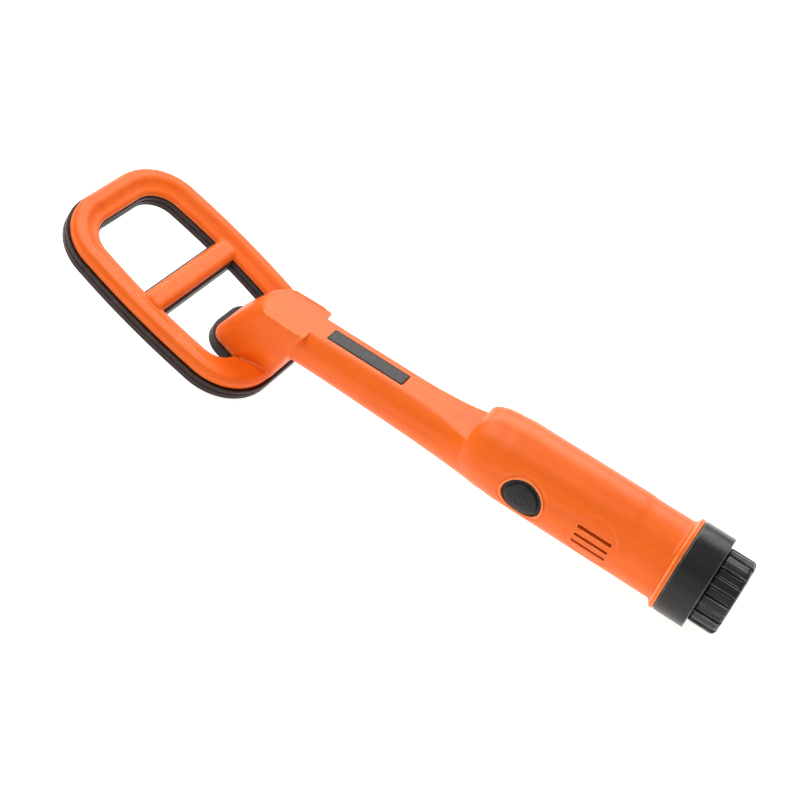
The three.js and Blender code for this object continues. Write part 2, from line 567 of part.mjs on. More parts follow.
add(handle, "electronics_tray", electronicsTray(), plastic(0xd8d5cc, 0.6));

add(handle, "main_circuit_board", cut(box(BOARD.x0, BOARD.x1, BOARD.y0, BOARD.y1, -BOARD.half, BOARD.half),
  BOARD_POSTS.map((at) => rod("y", 1.3, -8, -2, at, 12))), plastic(0x1b6a43, 0.4));

function boardScrew([x, z]) {
  const head = rod("y", 1.9, BOARD.y0 - 1.5, BOARD.y0 - GAP, [x, z], 14);
  const slot = box(x - 2, x + 2, BOARD.y0 - 2, BOARD.y0 - 1, z - 0.3, z + 0.3);
  return cut(join(head, rod("y", 0.9, BOARD.y0 - 0.4, 2.5, [x, z], 10)), slot);
}
BOARD_POSTS.forEach((at, i) => add(handle, `board_screw_${i + 1}`, boardScrew(at), metal(STEEL, 0.35)));

// Box that stands on the board: centre (x, z), size along x and z, height towards the button.
const onBoard = (x, z, lengthX, lengthZ, height) =>
  box(x - lengthX / 2, x + lengthX / 2, BOARD.y0 - GAP - height, BOARD.y0 - GAP,
    z - lengthZ / 2, z + lengthZ / 2);

add(handle, "microcontroller", onBoard(-91, 4, 7, 7, 1.2), plastic(0x1a1a1c, 0.55));
add(handle, "receiver_chip", onBoard(-91, -7, 5, 4, 1.5), plastic(0x1a1a1c, 0.55));
add(handle, "coil_driver_transistor", onBoard(-65, -3, 6.5, 6, 2.2), plastic(0x1a1a1c, 0.55));
add(handle, "quartz_crystal", onBoard(-84, 9.3, 8, 3.4, 3), metal(0xc9cbcd, 0.3));
const canCapacitor = (x, z, radius, height) =>
  rod("y", radius, BOARD.y0 - GAP - height, BOARD.y0 - GAP, [x, z], 24);
add(handle, "supply_capacitor", canCapacitor(-58, 7.6, 3.1, 6.5), metal(0x4c5f8f, 0.4));
add(handle, "filter_capacitor", canCapacitor(-66.5, 7.6, 2.5, 5.5), metal(0x4c5f8f, 0.4));
add(handle, "sensitivity_trimmer",
  join(onBoard(-58.5, -7, 6.4, 6.4, 4), rod("y", 1.5, -11, -10, [-58.5, -7], 16)),
  plastic(0x2f5fa8, 0.45));
add(handle, "coil_socket", cut(onBoard(-98, -1, 5.5, 7, 5), box(-100, -96, -12, -8, -3.5, 1.5)),
  plastic(0xe6e2d6, 0.55));
add(handle, "coil_plug", box(-99.7, -96.3, -14, -8.3, -3.2, 1.2), plastic(0xe6e2d6, 0.55));

// ---------------------------------------------------------------- tactile switch
const plungerTop = BUTTON_STEM_END_Y + GAP;
add(handle, "tactile_switch_body",
  cut(onBoard(BUTTON_X, 0, 6, 6, 4.6), rod("y", 2, -12, -8.6, [BUTTON_X, 0], 20)), plastic(0x2a2a2c, 0.5));
add(handle, "tactile_switch_plunger", rod("y", 1.7, plungerTop, -9.6, [BUTTON_X, 0], 20),
  plastic(0xb5b2ab, 0.5));

// ---------------------------------------------------------------- vibration motor
add(handle, "vibration_motor", rod("x", MOTOR.r, MOTOR.x0, MOTOR.x1, [MOTOR.y, MOTOR.z], 28),
  metal(0xa9acb0, 0.35));
function eccentricWeight() {
  const centre = [MOTOR.y, MOTOR.z];
  const disc = rod("x", 3.2, MOTOR.x0 - 4, MOTOR.x0 - 1, centre, 28);
  const half = cut(disc, box(MOTOR.x0 - 6, MOTOR.x0, MOTOR.y - 5, MOTOR.y + 5, 0.9, 6));
  return join(half, rod("x", 0.6, MOTOR.x0 - 4.6, MOTOR.x0 - GAP, centre, 12));
}
add(handle, "eccentric_weight", eccentricWeight(), metal(0x8f8b84, 0.4));

// ---------------------------------------------------------------- battery and its leads
function batteryShape() {
  const { x0, x1, halfThickness, halfWidth, corner } = BATTERY;
  const ends = [halfThickness - corner, corner - halfThickness].flatMap((y) =>
    [halfWidth - corner, corner - halfWidth].flatMap((z) => [x0, x1].flatMap((x) =>
      arc(y, z, corner, 0, FULL_TURN, 16).map((p) => new THREE.Vector3(x, p.x, p.y)))));
  const socket = rod("x", 3.6, x0 - 2, x0 + 0.5, [0, -6.3], 20);
  const stud = rod("x", 2.7, x0 - 2, x0 + 0.5, [0, 6.3], 20);
  return join(hull(ends), socket, stud);
}
add(handle, "nine_volt_battery", batteryShape(), metal(0x3d4046, 0.45));

function snapConnector() {
  const pad = box(BATTERY.x0 - 4.6, BATTERY.x0 - GAP, -6.2, 6.2, -12.6, 12.6);
  return cut(pad, rod("x", 3.9, BATTERY.x0 - 2.4, BATTERY.x0, [0, -6.3], 20),
    rod("x", 3, BATTERY.x0 - 2.4, BATTERY.x0, [0, 6.3], 20));
}
add(handle, "battery_snap_connector", snapConnector(), plastic(0x1c1c1e, 0.7));

const leadPath = (z) => [[BATTERY.x0 - 5, -5, z], [-44, -6.5, z], [-47, -8.5, z * 0.9],
  [-50.5, -8.4, z * 0.8], [-52.2, -7.4, z * 0.8]];
add(handle, "positive_lead", tube(leadPath(3.6), 0.75, 12), plastic(0xb3261e, 0.6));
add(handle, "negative_lead", tube(leadPath(-3.6), 0.75, 12), plastic(0x1d1d1f, 0.6));

// ---------------------------------------------------------------- battery cap and its seals
const ringX = (SEAL_GROOVE.x0 + SEAL_GROOVE.x1) / 2;
const ringCircle = arc(SEAL_GROOVE.radius + O_RING_RADIUS + 0.2, ringX, O_RING_RADIUS, 0, FULL_TURN, 8);
add(handle, "spigot_o_ring", turned(ringCircle.slice(0, -1).map((p) => [p.x, p.y]), 40),
  plastic(0x161618, 0.85));
add(handle, "cap_gasket", ring("x", 17.2, CAP_BORE_RADIUS - 0.4, SPIGOT_END_X + GAP, CAP_FLOOR_X - GAP,
  [0, 0], 48), plastic(0x202022, 0.9));

// Outline of the knob in the YZ plane: raised ribs with slightly wider gaps between them.
function knobOutline() {
  const pitch = FULL_TURN / KNOB_RIBS;
  const points = [];
  for (let i = 0; i < KNOB_RIBS; i++) {
    const from = KNOB_FIRST_RIB + i * pitch;
    const rib = KNOB_RIB_SHARE * pitch;
    points.push(...arc(0, 0, KNOB_RADIUS, from, from + rib, 3));
    points.push(...arc(0, 0, KNOB_ROOT_RADIUS, from + rib + 0.04 * pitch, from + 0.96 * pitch, 3));
  }
  return new THREE.Shape(points);
}

function batteryCap() {
  const collar = turned([[0, 0], [FLANGE_RADIUS - 0.3, 0], [FLANGE_RADIUS, 0.3],
    [FLANGE_RADIUS, CAP_LENGTH - 0.5], [FLANGE_RADIUS - 0.5, CAP_LENGTH], [0, CAP_LENGTH]], 72);
  const knobLength = KNOB_END_X - CAP_LENGTH + 1;
  const knob = solid(new THREE.ExtrudeGeometry(knobOutline(), { depth: knobLength, bevelEnabled: false })
    .rotateY(HALF_TURN / 2).translate(CAP_LENGTH - 1, 0, 0));
  const envelope = turned([[0, 0], [FLANGE_RADIUS, 0], [FLANGE_RADIUS, CAP_LENGTH],
    [KNOB_RADIUS + 0.4, KNOB_END_X - 1.6], [KNOB_RADIUS - 0.4, KNOB_END_X - 0.5],
    [KNOB_RADIUS - 1.4, KNOB_END_X], [0, KNOB_END_X]], 72);
  const inside = turned([[0, -1], [CAP_BORE_RADIUS, -1], [CAP_BORE_RADIUS, CAP_FLOOR_X],
    [KNOB_HOLLOW_RADIUS, CAP_FLOOR_X], [KNOB_HOLLOW_RADIUS, KNOB_HOLLOW_END_X],
    [0, KNOB_HOLLOW_END_X]], 64);
  const thread = ridge(CAP_BORE_RADIUS + 0.3, CAP_BORE_RADIUS - THREAD_HEIGHT,
    THREAD_START_X + THREAD_PITCH / 2);
  return join(cut(join(collar, common(knob, envelope)), inside), thread);
}
add(handle, "battery_cap", batteryCap(), plastic(CAP_BLACK, 0.45));

// ---------------------------------------------------------------- laid on the ground
// It rests on the rear lower edge of the coil cover and on the cap's rim.
const coverRest = new THREE.Vector3(OUTER.rear - EDGE, 0, 0).applyMatrix4(loopMatrix);
const capRest = new THREE.Vector3(CAP_LENGTH - 0.5, 0, -FLANGE_RADIUS);
const restTilt = Math.atan2(capRest.z - coverRest.z, capRest.x - coverRest.x);
handle.rotation.y = restTilt;
handle.position.z = -capRest.clone().applyAxisAngle(new THREE.Vector3(0, 1, 0), restTilt).z;
const bounds = new THREE.Box3().setFromObject(part, true);
handle.position.x = -(bounds.min.x + bounds.max.x) / 2;

export default part;
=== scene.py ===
"""Looks of the handheld coil detector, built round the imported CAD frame.

Each visible moulding is a distance field in millimetres, drawn in the handle's own frame (X along
the handle towards the battery cap) or the coil frame's own (X the same way, height n square to its
underside), and meshed where the field is zero.
"""

import json
import math

import bpy
import numpy as np
from mathutils import Matrix, Vector


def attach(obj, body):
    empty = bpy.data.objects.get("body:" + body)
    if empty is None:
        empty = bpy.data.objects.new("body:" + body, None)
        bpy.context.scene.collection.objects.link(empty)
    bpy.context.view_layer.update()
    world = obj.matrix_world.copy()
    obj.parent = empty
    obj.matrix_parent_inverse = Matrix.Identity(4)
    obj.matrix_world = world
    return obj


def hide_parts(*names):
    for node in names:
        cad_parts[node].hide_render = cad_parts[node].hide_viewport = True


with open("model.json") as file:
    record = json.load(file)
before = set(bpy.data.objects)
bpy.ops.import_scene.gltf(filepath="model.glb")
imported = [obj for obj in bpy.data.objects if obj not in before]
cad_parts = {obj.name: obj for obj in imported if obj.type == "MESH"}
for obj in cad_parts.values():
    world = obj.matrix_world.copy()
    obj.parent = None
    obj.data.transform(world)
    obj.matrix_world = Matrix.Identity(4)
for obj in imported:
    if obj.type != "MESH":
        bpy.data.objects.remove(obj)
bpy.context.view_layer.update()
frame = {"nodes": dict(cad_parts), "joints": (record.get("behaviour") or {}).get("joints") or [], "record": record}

# ---------------------------------------------------------------- dimensions, millimetres
GAP = 0.3
BODY_RADIUS = 21
BORE_RADIUS = 17.9
BORE_END_X = -106
FLANGE_RADIUS = 24
FLANGE_X = -GAP
SPIGOT_RADIUS = 20.2
SPIGOT_END_X = 11.6
O_RING_ROOT_RADIUS = 19.1
O_RING_GROOVE_X = (1, 3.3)
FLAT_Z = 6.5
FLAT_END_X = -115.1
SHOULDER_X = -100
SHOULDER_POWER = 2.4  # 2 would make its side view a quarter of an ellipse
NECK_START_X = -228
NECK_BORE_RADIUS = 8
NECK_BORE_END_X = -112
NECK_AXIS_Z = -4.9
GRIP_PAD_HEIGHT = 0.45
GRIP_PAD_END_X = -26
THREAD_PITCH = 3.2
THREAD_TURNS = 1.6
THREAD_START_X = 4.6
THREAD_HEIGHT = 0.9
CAP_LENGTH = 15.75
CAP_BORE_RADIUS = 21.4
CAP_FLOOR_X = 13.6
KNOB_END_X = 30.05
KNOB_RADIUS = 19.6
KNOB_ROOT_RADIUS = 18.6
KNOB_RIBS = 12
KNOB_FIRST_RIB = 4 / 360  # of a turn, from straight down
KNOB_RIB_SHARE = 0.44  # of each pitch
KNOB_NOTCH_OFFSET = 0.045  # of each pitch, past the rib's side
KNOB_NOTCH_DEPTH = 0.8
KNOB_HOLLOW_RADIUS = 15
KNOB_HOLLOW_END_X = 27.2
# outlines of the coil frame and its window: ends, then half widths and corner radii front and rear
OUTER = {"front": -66.45, "rear": 66.45, "width": (44.9, 44.8), "radius": (30.3, 31.5), "bow": 1.42}
WINDOW = {"front": -49.75, "rear": 43.95, "width": (28.2, 28.1), "radius": (15, 12.3), "bow": 1.53}
RAIL_WIDTH = WINDOW["front"] - OUTER["front"]
SEAM_N = 7
FOOT_N = 9.3
COVER_WALL = 1.8
COVER_GROOVE_N = 4.4
COVER_GROOVE_RADIUS = 0.45
EDGE = 0.6
CROSSBAR_X = -1.4
CROSSBAR_HALF = 7.5
# x, y and radius of the circles that an outline is stretched round, each with its mirror image
BLOCK_TOP = [(-231, 3, 10.5), (-212, 11.8, 2)]
BLOCK_BASE = [(35.2, 9.9, 7.6), (44.5, 8, 10), (62.2, 11, 2.8)]
TONGUE = [(37.5, 5.5, 12.5), (44.5, 8, 10), (62.2, 11, 2.8)]
TONGUE_LEDGE = 1
BLOCK_WALL = 2.6
BLOCK_DRAFT_TOP_Z = FLAT_Z - 1.4
CREST_RADIUS = 0.68
JUNCTION_BEAD_RADIUS = 0.55
FOOT_SCREWS = [(34.5, 8.5), (49.5, 12)]  # each with its mirror image
FOOT_BOSS_RADIUS = 3.4
FOOT_PILOT_RADIUS = 1.6
FOOT_PLATE_HOLE_RADIUS = 1.7
COIL_LEAD_HOLE = (47, 4.5)  # x and radius, through the foot plate
CABLE_HOLE_RADIUS = 3.6
BUTTON_X = -77.5
BUTTON_HALF_LENGTH = 10.4
BUTTON_HALF_HEIGHT = 9.5
BUTTON_TOP_RADIUS = 21.8
BUTTON_RIM_RADIUS = 20.3
BUTTON_SEAT_Y = -17
BUTTON_BOSS_Y = -14.6
BUTTON_STEM_RADIUS = 3
BUTTON_PLATEAU_INSET = 1.6
BUTTON_CLEARANCE = 0.4
BUTTON_DISH = (13.9, 12.6, 0.5)  # half length, half height and depth
BUTTON_LIP_RADIUS = 0.6
SIGN_RADIUS = 3.2
SIGN_HALF_LINE = 0.35
SOUNDER_X = -39.2
SOUNDER_RADIUS = 8.7
SOUNDER_DISH_RADIUS = 14
SOUNDER_DISH_DEPTH = 0.4
SLOT_LENGTH = 18.5
SLOT_HEIGHT = 1.8
SLOT_PITCH = 4.7
LABEL = {"x0": -201.6, "x1": -157.3, "half": 4.15}
LABEL_SEAT_DEPTH = 0.8
LABEL_CLEARANCE = 0.2
LABEL_BORDER = 0.8


# ---------------------------------------------------------------- the two local frames
class Place:
    """An origin and axes in the row frame, in millimetres."""

    def __init__(self, origin, axis_x):
        self.x = np.array(axis_x, float) / np.linalg.norm(axis_x)
        self.y = np.array([0.0, 1.0, 0.0])
        self.z = np.cross(self.x, self.y)
        self.origin = np.array(origin, float)

    def to_row(self, points):
        """Points of this frame as metres in the row frame."""
        return (points @ np.array([self.x, self.y, self.z]) + self.origin) / 1000

    def turn(self, vectors):
        return vectors @ np.array([self.x, self.y, self.z])


cap_turn = next(j for j in frame["joints"] if j["name"] == "cap_turn")
underside = next(m for m in frame["record"]["mounts"] if m["name"] == "coil_underside")
CAP_TURN_X = 10  # where the cap's joint lies along the handle
handle_x = np.array(cap_turn["axis"], float)
HANDLE = Place(np.array(cap_turn["pos_m"]) * 1000 - CAP_TURN_X * handle_x, handle_x)
coil_x = np.cross([0.0, 1.0, 0.0], -np.array(underside["axis"], float))
COIL = Place(np.array(underside["pos_m"]) * 1000 - CROSSBAR_X * coil_x, coil_x)

# the coil frame's axes and origin as seen in the handle's frame
COIL_IN_HANDLE = np.array([HANDLE.x, HANDLE.y, HANDLE.z]) @ np.array([COIL.x, COIL.y, COIL.z]).T
COIL_ORIGIN = np.array([HANDLE.x, HANDLE.y, HANDLE.z]) @ (COIL.origin - HANDLE.origin)


def handle_to_coil(x, z):
    """(x, n) of the coil frame from (x, z) of the handle's."""
    dx, dz = x - COIL_ORIGIN[0], z - COIL_ORIGIN[2]
    return (
        COIL_IN_HANDLE[0, 0] * dx + COIL_IN_HANDLE[2, 0] * dz,
        COIL_IN_HANDLE[0, 2] * dx + COIL_IN_HANDLE[2, 2] * dz,
    )


def coil_to_handle(x, n):
    return (
        COIL_ORIGIN[0] + COIL_IN_HANDLE[0, 0] * x + COIL_IN_HANDLE[0, 2] * n,
        COIL_ORIGIN[2] + COIL_IN_HANDLE[2, 0] * x + COIL_IN_HANDLE[2, 2] * n,
    )


# ---------------------------------------------------------------- curves and outlines
def smoothstep(value, low, high):
    t = np.clip((value - low) / (high - low), 0, 1)
    return t * t * (3 - 2 * t)


def curve(points):
    """Smooth value(x) through the points that never overshoots between them."""
    xs, values = np.array(points, float).T
    slope = np.diff(values) / np.diff(xs)
    before, after = slope[:-1], slope[1:]
    same = before * after > 0
    tangent = np.zeros(len(xs))
    tangent[1:-1][same] = (2 * before * after)[same] / (before + after)[same]

    def at(x):
        x = np.clip(x, xs[0], xs[-1])
        i = np.clip(np.searchsorted(xs, x, side="right") - 1, 0, len(xs) - 2)
        width = xs[i + 1] - xs[i]
        t = (x - xs[i]) / width
        lean = tangent[i] * t * (1 - t) ** 2 + tangent[i + 1] * t * t * (t - 1)
        return values[i] + (values[i + 1] - values[i]) * t * t * (3 - 2 * t) + width * lean

    return at


def arc(x, y, radius, start, end, steps):
    angle = np.linspace(start, end, steps + 1)
    return np.stack([x + radius * np.cos(angle), y + radius * np.sin(angle)], 1)


def rounded(points, size, steps=6):
    """A closed outline with each corner replaced by a curve that starts size before it."""
    points = np.array(points, float)
    made = []
    for before, corner, after in zip(np.roll(points, 1, 0), points, np.roll(points, -1, 0)):
        ends = []
        for other in (before, after):
            length = np.linalg.norm(other - corner)
            ends.append(corner + (other - corner) / length * min(size, 0.48 * length))
        for t in np.linspace(0, 1, steps + 1):
            made.append((1 - t) ** 2 * ends[0] + 2 * t * (1 - t) * corner + t * t * ends[1])
    return np.array(made)


def frame_outline(shape):
    """Closed outline of the coil frame or its window, with bowed sides."""
    quarter = math.pi / 2
    front_width, rear_width = shape["width"]
    front_radius, rear_radius = shape["radius"]
    front = shape["front"] + front_radius
    rear = shape["rear"] - rear_radius
    t = np.linspace(0, 1, 24)[1:-1]
    bowed = front_width + (rear_width - front_width) * t + 4 * shape["bow"] * t * (1 - t)
    half = np.concatenate([
        arc(front, front_width - front_radius, front_radius, 2 * quarter, quarter, 24),
        np.stack([front + (rear - front) * t, bowed], 1),
        arc(rear, rear_width - rear_radius, rear_radius, quarter, 0, 24),
    ])
    return np.concatenate([half, half[::-1] * [1, -1]])


def mirrored(circles):
    return [(x, side * y, r) for x, y, r in circles for side in (1, -1)]


def hull_outline(circles, count=180):
    """Outline stretched round circles and their mirror images."""
    points = []
    for angle in np.linspace(0, 2 * math.pi, count, endpoint=False):
        way = np.array([math.cos(angle), math.sin(angle)])
        x, y, r = max(mirrored(circles), key=lambda c: c[0] * way[0] + c[1] * way[1] + c[2])
        points.append([x + r * way[0], y + r * way[1]])
    return np.array(points)


class Outline:
    """Signed distance to a closed outline, read from a table."""

    def __init__(self, points, margin, step):
        points = np.array(points, float)
        self.low, self.step = points.min(0) - margin, step
        count = np.ceil((points.max(0) + margin - self.low) / step).astype(int) + 1
        x = (self.low[0] + step * np.arange(count[0]))[:, None]
        y = (self.low[1] + step * np.arange(count[1]))[None, :]
        nearest = np.full(count, 1e9)
        inside = np.zeros(count, bool)
        for (ax, ay), (bx, by) in zip(points, np.roll(points, -1, 0)):
            ex, ey = bx - ax, by - ay
            length = ex * ex + ey * ey
            if length < 1e-12:
                continue
            t = np.clip(((x - ax) * ex + (y - ay) * ey) / length, 0, 1)
            nearest = np.minimum(nearest, (x - ax - ex * t) ** 2 + (y - ay - ey * t) ** 2)
            if ey:
                inside ^= ((ay > y) != (by > y)) & (x < ex * (y - ay) / ey + ax)
        self.table = np.where(inside, -1, 1) * np.sqrt(nearest)

    def __call__(self, x, y):
        i = np.clip((x - self.low[0]) / self.step, 0, self.table.shape[0] - 1.001)
        j = np.clip((y - self.low[1]) / self.step, 0, self.table.shape[1] - 1.001)
        i0, j0 = i.astype(int), j.astype(int)
        i, j = i - i0, j - j0
        near = self.table[i0, j0] * (1 - j) + self.table[i0, j0 + 1] * j
        far = self.table[i0 + 1, j0] * (1 - j) + self.table[i0 + 1, j0 + 1] * j
        return near * (1 - i) + far * i


# ---------------------------------------------------------------- distance fields
def both(a, b, soft=0.0):
    """Where a and b overlap, with an edge of that softness."""
    if np.isscalar(soft) and not soft:
        return np.maximum(a, b)
    h = np.maximum(soft - np.abs(a - b), 0)
    return np.maximum(a, b) + h * h / (4 * soft)


def either(a, b, soft=0.0):
    return -both(-a, -b, soft)


def without(a, b, soft=0.0):
    return both(a, -b, soft)


def between(value, low, high):
    return np.abs(value - (low + high) / 2) - (high - low) / 2


def oval(x, z, length, height):
    return (np.hypot(x / length, z / height) - 1) * min(length, height)


def button_oval(x, z, margin=0.0):
    """Outline of the button, or of something that much larger all round."""
    return oval(x, z, BUTTON_HALF_LENGTH + margin, BUTTON_HALF_HEIGHT + margin)


def stadium(x, z, length, height):
    """Distance to a slot with round ends, length by height over all."""
    return np.hypot(np.maximum(np.abs(x) - (length - height) / 2, 0), z) - height / 2


def near(x, low, high):
    """Whether x reaches into the span of a feature, which is otherwise left out to save time."""
    return x.max() >= low and x.min() <= high


def helix(x, y, z, radius, start, way):
    """Screw ridge that stands THREAD_HEIGHT out of radius, or into it where way is -1."""
    reach = np.hypot(y, z)
    turn = np.arctan2(z, y) / (2 * math.pi)
    along = x - start - THREAD_PITCH * turn
    whole = np.clip(np.round(along / THREAD_PITCH), 0, 10)
    along = np.abs(along - THREAD_PITCH * whole)
    height = way * (reach - radius)
    ridge = both(along - 0.62 + 0.35 * height, between(height, -1, THREAD_HEIGHT), 0.25)
    return both(ridge, between(x, start, start + THREAD_PITCH * THREAD_TURNS), 0.8)


# radius or height of the handle's outside at points along it
section_radius = curve([(-215, 13.4), (-150, 14), (-129, 14.9), (FLAT_END_X, 16.4), (-106, 18.2),
                        (-98, 20), (-90, BODY_RADIUS)])
shoulder_radius = curve([(-115.3, 14.6), (-114.3, 16.2), (-112.8, 17.6), (-110.5, 18.95),
                         (-105.5, 20.3), (SHOULDER_X, 20.85), (-94, BODY_RADIUS)])
section_bottom = curve([(-215, -18), (-147, -19.4), (-115, -20.5), (-85, -BODY_RADIUS)])
under_shoulder_radius = curve([(-115.3, 17), (-106, 19.6), (-98, 20.5), (-90, BODY_RADIUS)])
flange_radius = curve([(-5.6, BODY_RADIUS), (-4, 21.4), (-2.9, 23.3), (-2.5, FLANGE_RADIUS)])


def top_outline():
    """Side view of what lies under the neck's flat and its shoulder."""
    t = np.linspace(1, 0, 40)
    along = SHOULDER_X - t * (SHOULDER_X - FLAT_END_X)
    rise = (1 - t**SHOULDER_POWER) ** (1 / SHOULDER_POWER)
    shoulder = np.stack([along, FLAT_Z + (BODY_RADIUS - FLAT_Z) * rise], 1)
    return np.concatenate([[(-262, -40), (-262, FLAT_Z)], shoulder,
                           [(-95, 21.6), (-85, 28), (-60, 60), (30, 60), (30, -40)]])


under_top = Outline(top_outline(), 2, 0.25)
outer_edge = Outline(frame_outline(OUTER), 6, 0.3)
window_edge = Outline(frame_outline(WINDOW), 20, 0.3)
foot_edge = Outline(hull_outline(BLOCK_BASE), 12, 0.25)
tongue_edge = Outline(hull_outline(TONGUE), 12, 0.25)


def block_sides(count=200):
    """Planes (normal, reach) that touch both the block's top outline and its base outline."""
    angle = np.linspace(0, 2 * math.pi, count, endpoint=False)
    low, high = np.full(count, -3.0), np.full(count, 3.0)

    def reach(normal):
        wide = np.hypot(normal[0], normal[1])
        top = []
        for x, y, r in mirrored(BLOCK_TOP):
            top.append(normal[0] * x + normal[1] * y + normal[2] * BLOCK_DRAFT_TOP_Z + r * wide)
        across = normal[0] * COIL_IN_HANDLE[0, 0] + normal[2] * COIL_IN_HANDLE[2, 0]
        wide = np.hypot(across, normal[1])
        base = []
        for cx, cy, r in mirrored(BLOCK_BASE):
            px, pz = coil_to_handle(cx, FOOT_N + GAP)
            base.append(normal[0] * px + normal[1] * cy + normal[2] * pz + r * wide)
        return np.max(top, 0), np.max(base, 0)

    for _ in range(50):
        slope = (low + high) / 2
        normal = np.stack([np.cos(angle), np.sin(angle), slope]) / np.sqrt(1 + slope**2)
        top, base = reach(normal)
        low, high = np.where(top < base, slope, low), np.where(top < base, high, slope)
    return normal.T, (top + base) / 2


SIDE_NORMALS, SIDE_REACH = block_sides()


def block_side(x, y, z):
    made = None
    for (a, b, c), reach in zip(SIDE_NORMALS, SIDE_REACH):
        plane = (a * x + c * z - reach) + b * y
        made = plane if made is None else np.maximum(made, plane, out=made)
    return made


def handle_outside(x, y, z):
    radius = np.maximum(section_radius(x), np.where(x > -10, flange_radius(x), 0))
    centre = np.where(x > -85, 0, section_bottom(x) + radius)
    reach = np.hypot(y, z - centre)
    along = smoothstep(x, SHOULDER_X, SHOULDER_X + 8)
    along = along * (1 - smoothstep(x, GRIP_PAD_END_X - 3, GRIP_PAD_END_X + 3))
    pad = GRIP_PAD_HEIGHT * along * smoothstep((z - centre) / np.maximum(reach, 1), 0.25, 0.5)
    shape = reach - radius - pad
    if near(x, -118, -85):
        off = np.hypot(y, z)
        under = smoothstep(-z / np.maximum(off, 1), -0.3, 0.6)
        end_radius = shoulder_radius(x) + under * (under_shoulder_radius(x) - shoulder_radius(x))
        shoulder = both(off - end_radius - pad, np.where(x < -85, FLAT_END_X - x, 1), 0.3)
        shape = either(shape, shoulder, 1.2 * (1 - smoothstep(x, -104, -97)) + 0.01)
    shape = both(shape, under_top(x, z), 0.5)
    return both(shape, x - FLANGE_X, 0.5)


def housing(x, y, z):
    reach = np.hypot(y, z)
    skin = both(handle_outside(x, y, z), NECK_START_X - x)
    shape = skin
    if near(x, -260, -196):
        coil_along, n = handle_to_coil(x, z)
        side = block_side(x, y, z)
        block = both(side, z - FLAT_Z, 0.9 + 2.6 * smoothstep(x, -232, -240))
        block = both(block, FOOT_N + GAP - n, 0.3)
        shape = np.maximum(either(shape, block, 0.5), z - FLAT_Z)
        fade = smoothstep(x, -240, -231) * (1 - smoothstep(x, -215, -212))
        shape = either(shape, np.hypot(side + 0.4, z - FLAT_Z + 0.3) - CREST_RADIUS * fade, 0.2)
        hollow = both(both(side + BLOCK_WALL, z - FLAT_Z + BLOCK_WALL, 1.5), FOOT_N - 1 - n)
        shape = without(shape, hollow, 0.3)
    if near(x, -10, 14):
        spigot = both(reach - SPIGOT_RADIUS, between(x, -4, SPIGOT_END_X), 0.6)
        spigot = either(spigot, helix(x, y, z, SPIGOT_RADIUS, THREAD_START_X, 1), 0.2)
        shape = either(shape, spigot, 0.2)
        shape = without(shape, both(O_RING_ROOT_RADIUS - reach, between(x, *O_RING_GROOVE_X)), 0.15)
    shape = without(shape, both(reach - BORE_RADIUS, BORE_END_X - x, 0.6), 0.3)
    if near(x, NECK_START_X - 5, BORE_END_X + 2):
        off = np.hypot(y, z - NECK_AXIS_Z)
        bore = both(off - NECK_BORE_RADIUS, between(x, NECK_START_X - 2, NECK_BORE_END_X))
        hole = both(off - CABLE_HOLE_RADIUS, between(x, NECK_BORE_END_X - 1, BORE_END_X + 1))
        shape = without(shape, either(bore, hole), 0.2)
        along = between(x, LABEL["x0"] - LABEL_CLEARANCE, LABEL["x1"] + LABEL_CLEARANCE)
        seat = both(along, np.abs(y) - LABEL["half"] - LABEL_CLEARANCE)
        shape = without(shape, both(seat, FLAT_Z - LABEL_SEAT_DEPTH - z), 0.15)
    if near(x, -260, -196):
        for along, across in FOOT_SCREWS:
            off = np.hypot(coil_along - along, np.abs(y) - across)
            boss = both(off - FOOT_BOSS_RADIUS, between(n, FOOT_N + GAP, 24))
            shape = either(shape, both(boss, block), 0.3)
            shape = without(shape, both(off - FOOT_PILOT_RADIUS, between(n, FOOT_N - 1, 20)))
    if near(x, BUTTON_X - 15, BUTTON_X + 15):
        side = x - BUTTON_X
        disc = np.hypot(side, z)
        boss = both(both(disc - 12.6, y - BUTTON_BOSS_Y), reach - BODY_RADIUS + 0.6)
        shape = either(shape, both(boss, y), 0.4)
        half_length, half_height, depth = BUTTON_DISH
        dish = oval(side, z, half_length, half_height)
        sunk = np.where(y < -8, skin + depth * (1 - smoothstep(dish, -1.0, 0.1)), -9)
        shape = np.maximum(shape, sunk)
        shape = without(shape, both(button_oval(side, z, BUTTON_CLEARANCE), y - BUTTON_SEAT_Y), 0.3)
        lip = np.hypot(button_oval(side, z, BUTTON_CLEARANCE + 0.5), sunk - 0.1) - BUTTON_LIP_RADIUS
        shape = either(shape, both(lip, y + 8), 0.15)
        stem = both(disc - BUTTON_STEM_RADIUS - BUTTON_CLEARANCE, y)
        pocket = both(disc - 4.9, between(y, -16.4, -15.2))
        shape = without(shape, either(stem, pocket))
    if near(x, SOUNDER_X - 16, SOUNDER_X + 16):
        side = x - SOUNDER_X
        disc = np.hypot(side, z)
        dish = smoothstep(disc, SOUNDER_DISH_RADIUS - 1.2, SOUNDER_DISH_RADIUS)
        sunk = np.where(y < -8, skin + SOUNDER_DISH_DEPTH * (1 - dish), -9)
        shape = np.maximum(shape, sunk)
        pocket = both(disc - SOUNDER_RADIUS - GAP, between(y, -17.6, -10))
        row = z - SLOT_PITCH * np.clip(np.round(z / SLOT_PITCH), -1, 1)
        slots = both(stadium(side, row, SLOT_LENGTH, SLOT_HEIGHT), y + 15)
        shape = without(shape, either(pocket, slots), 0.3)
    return shape


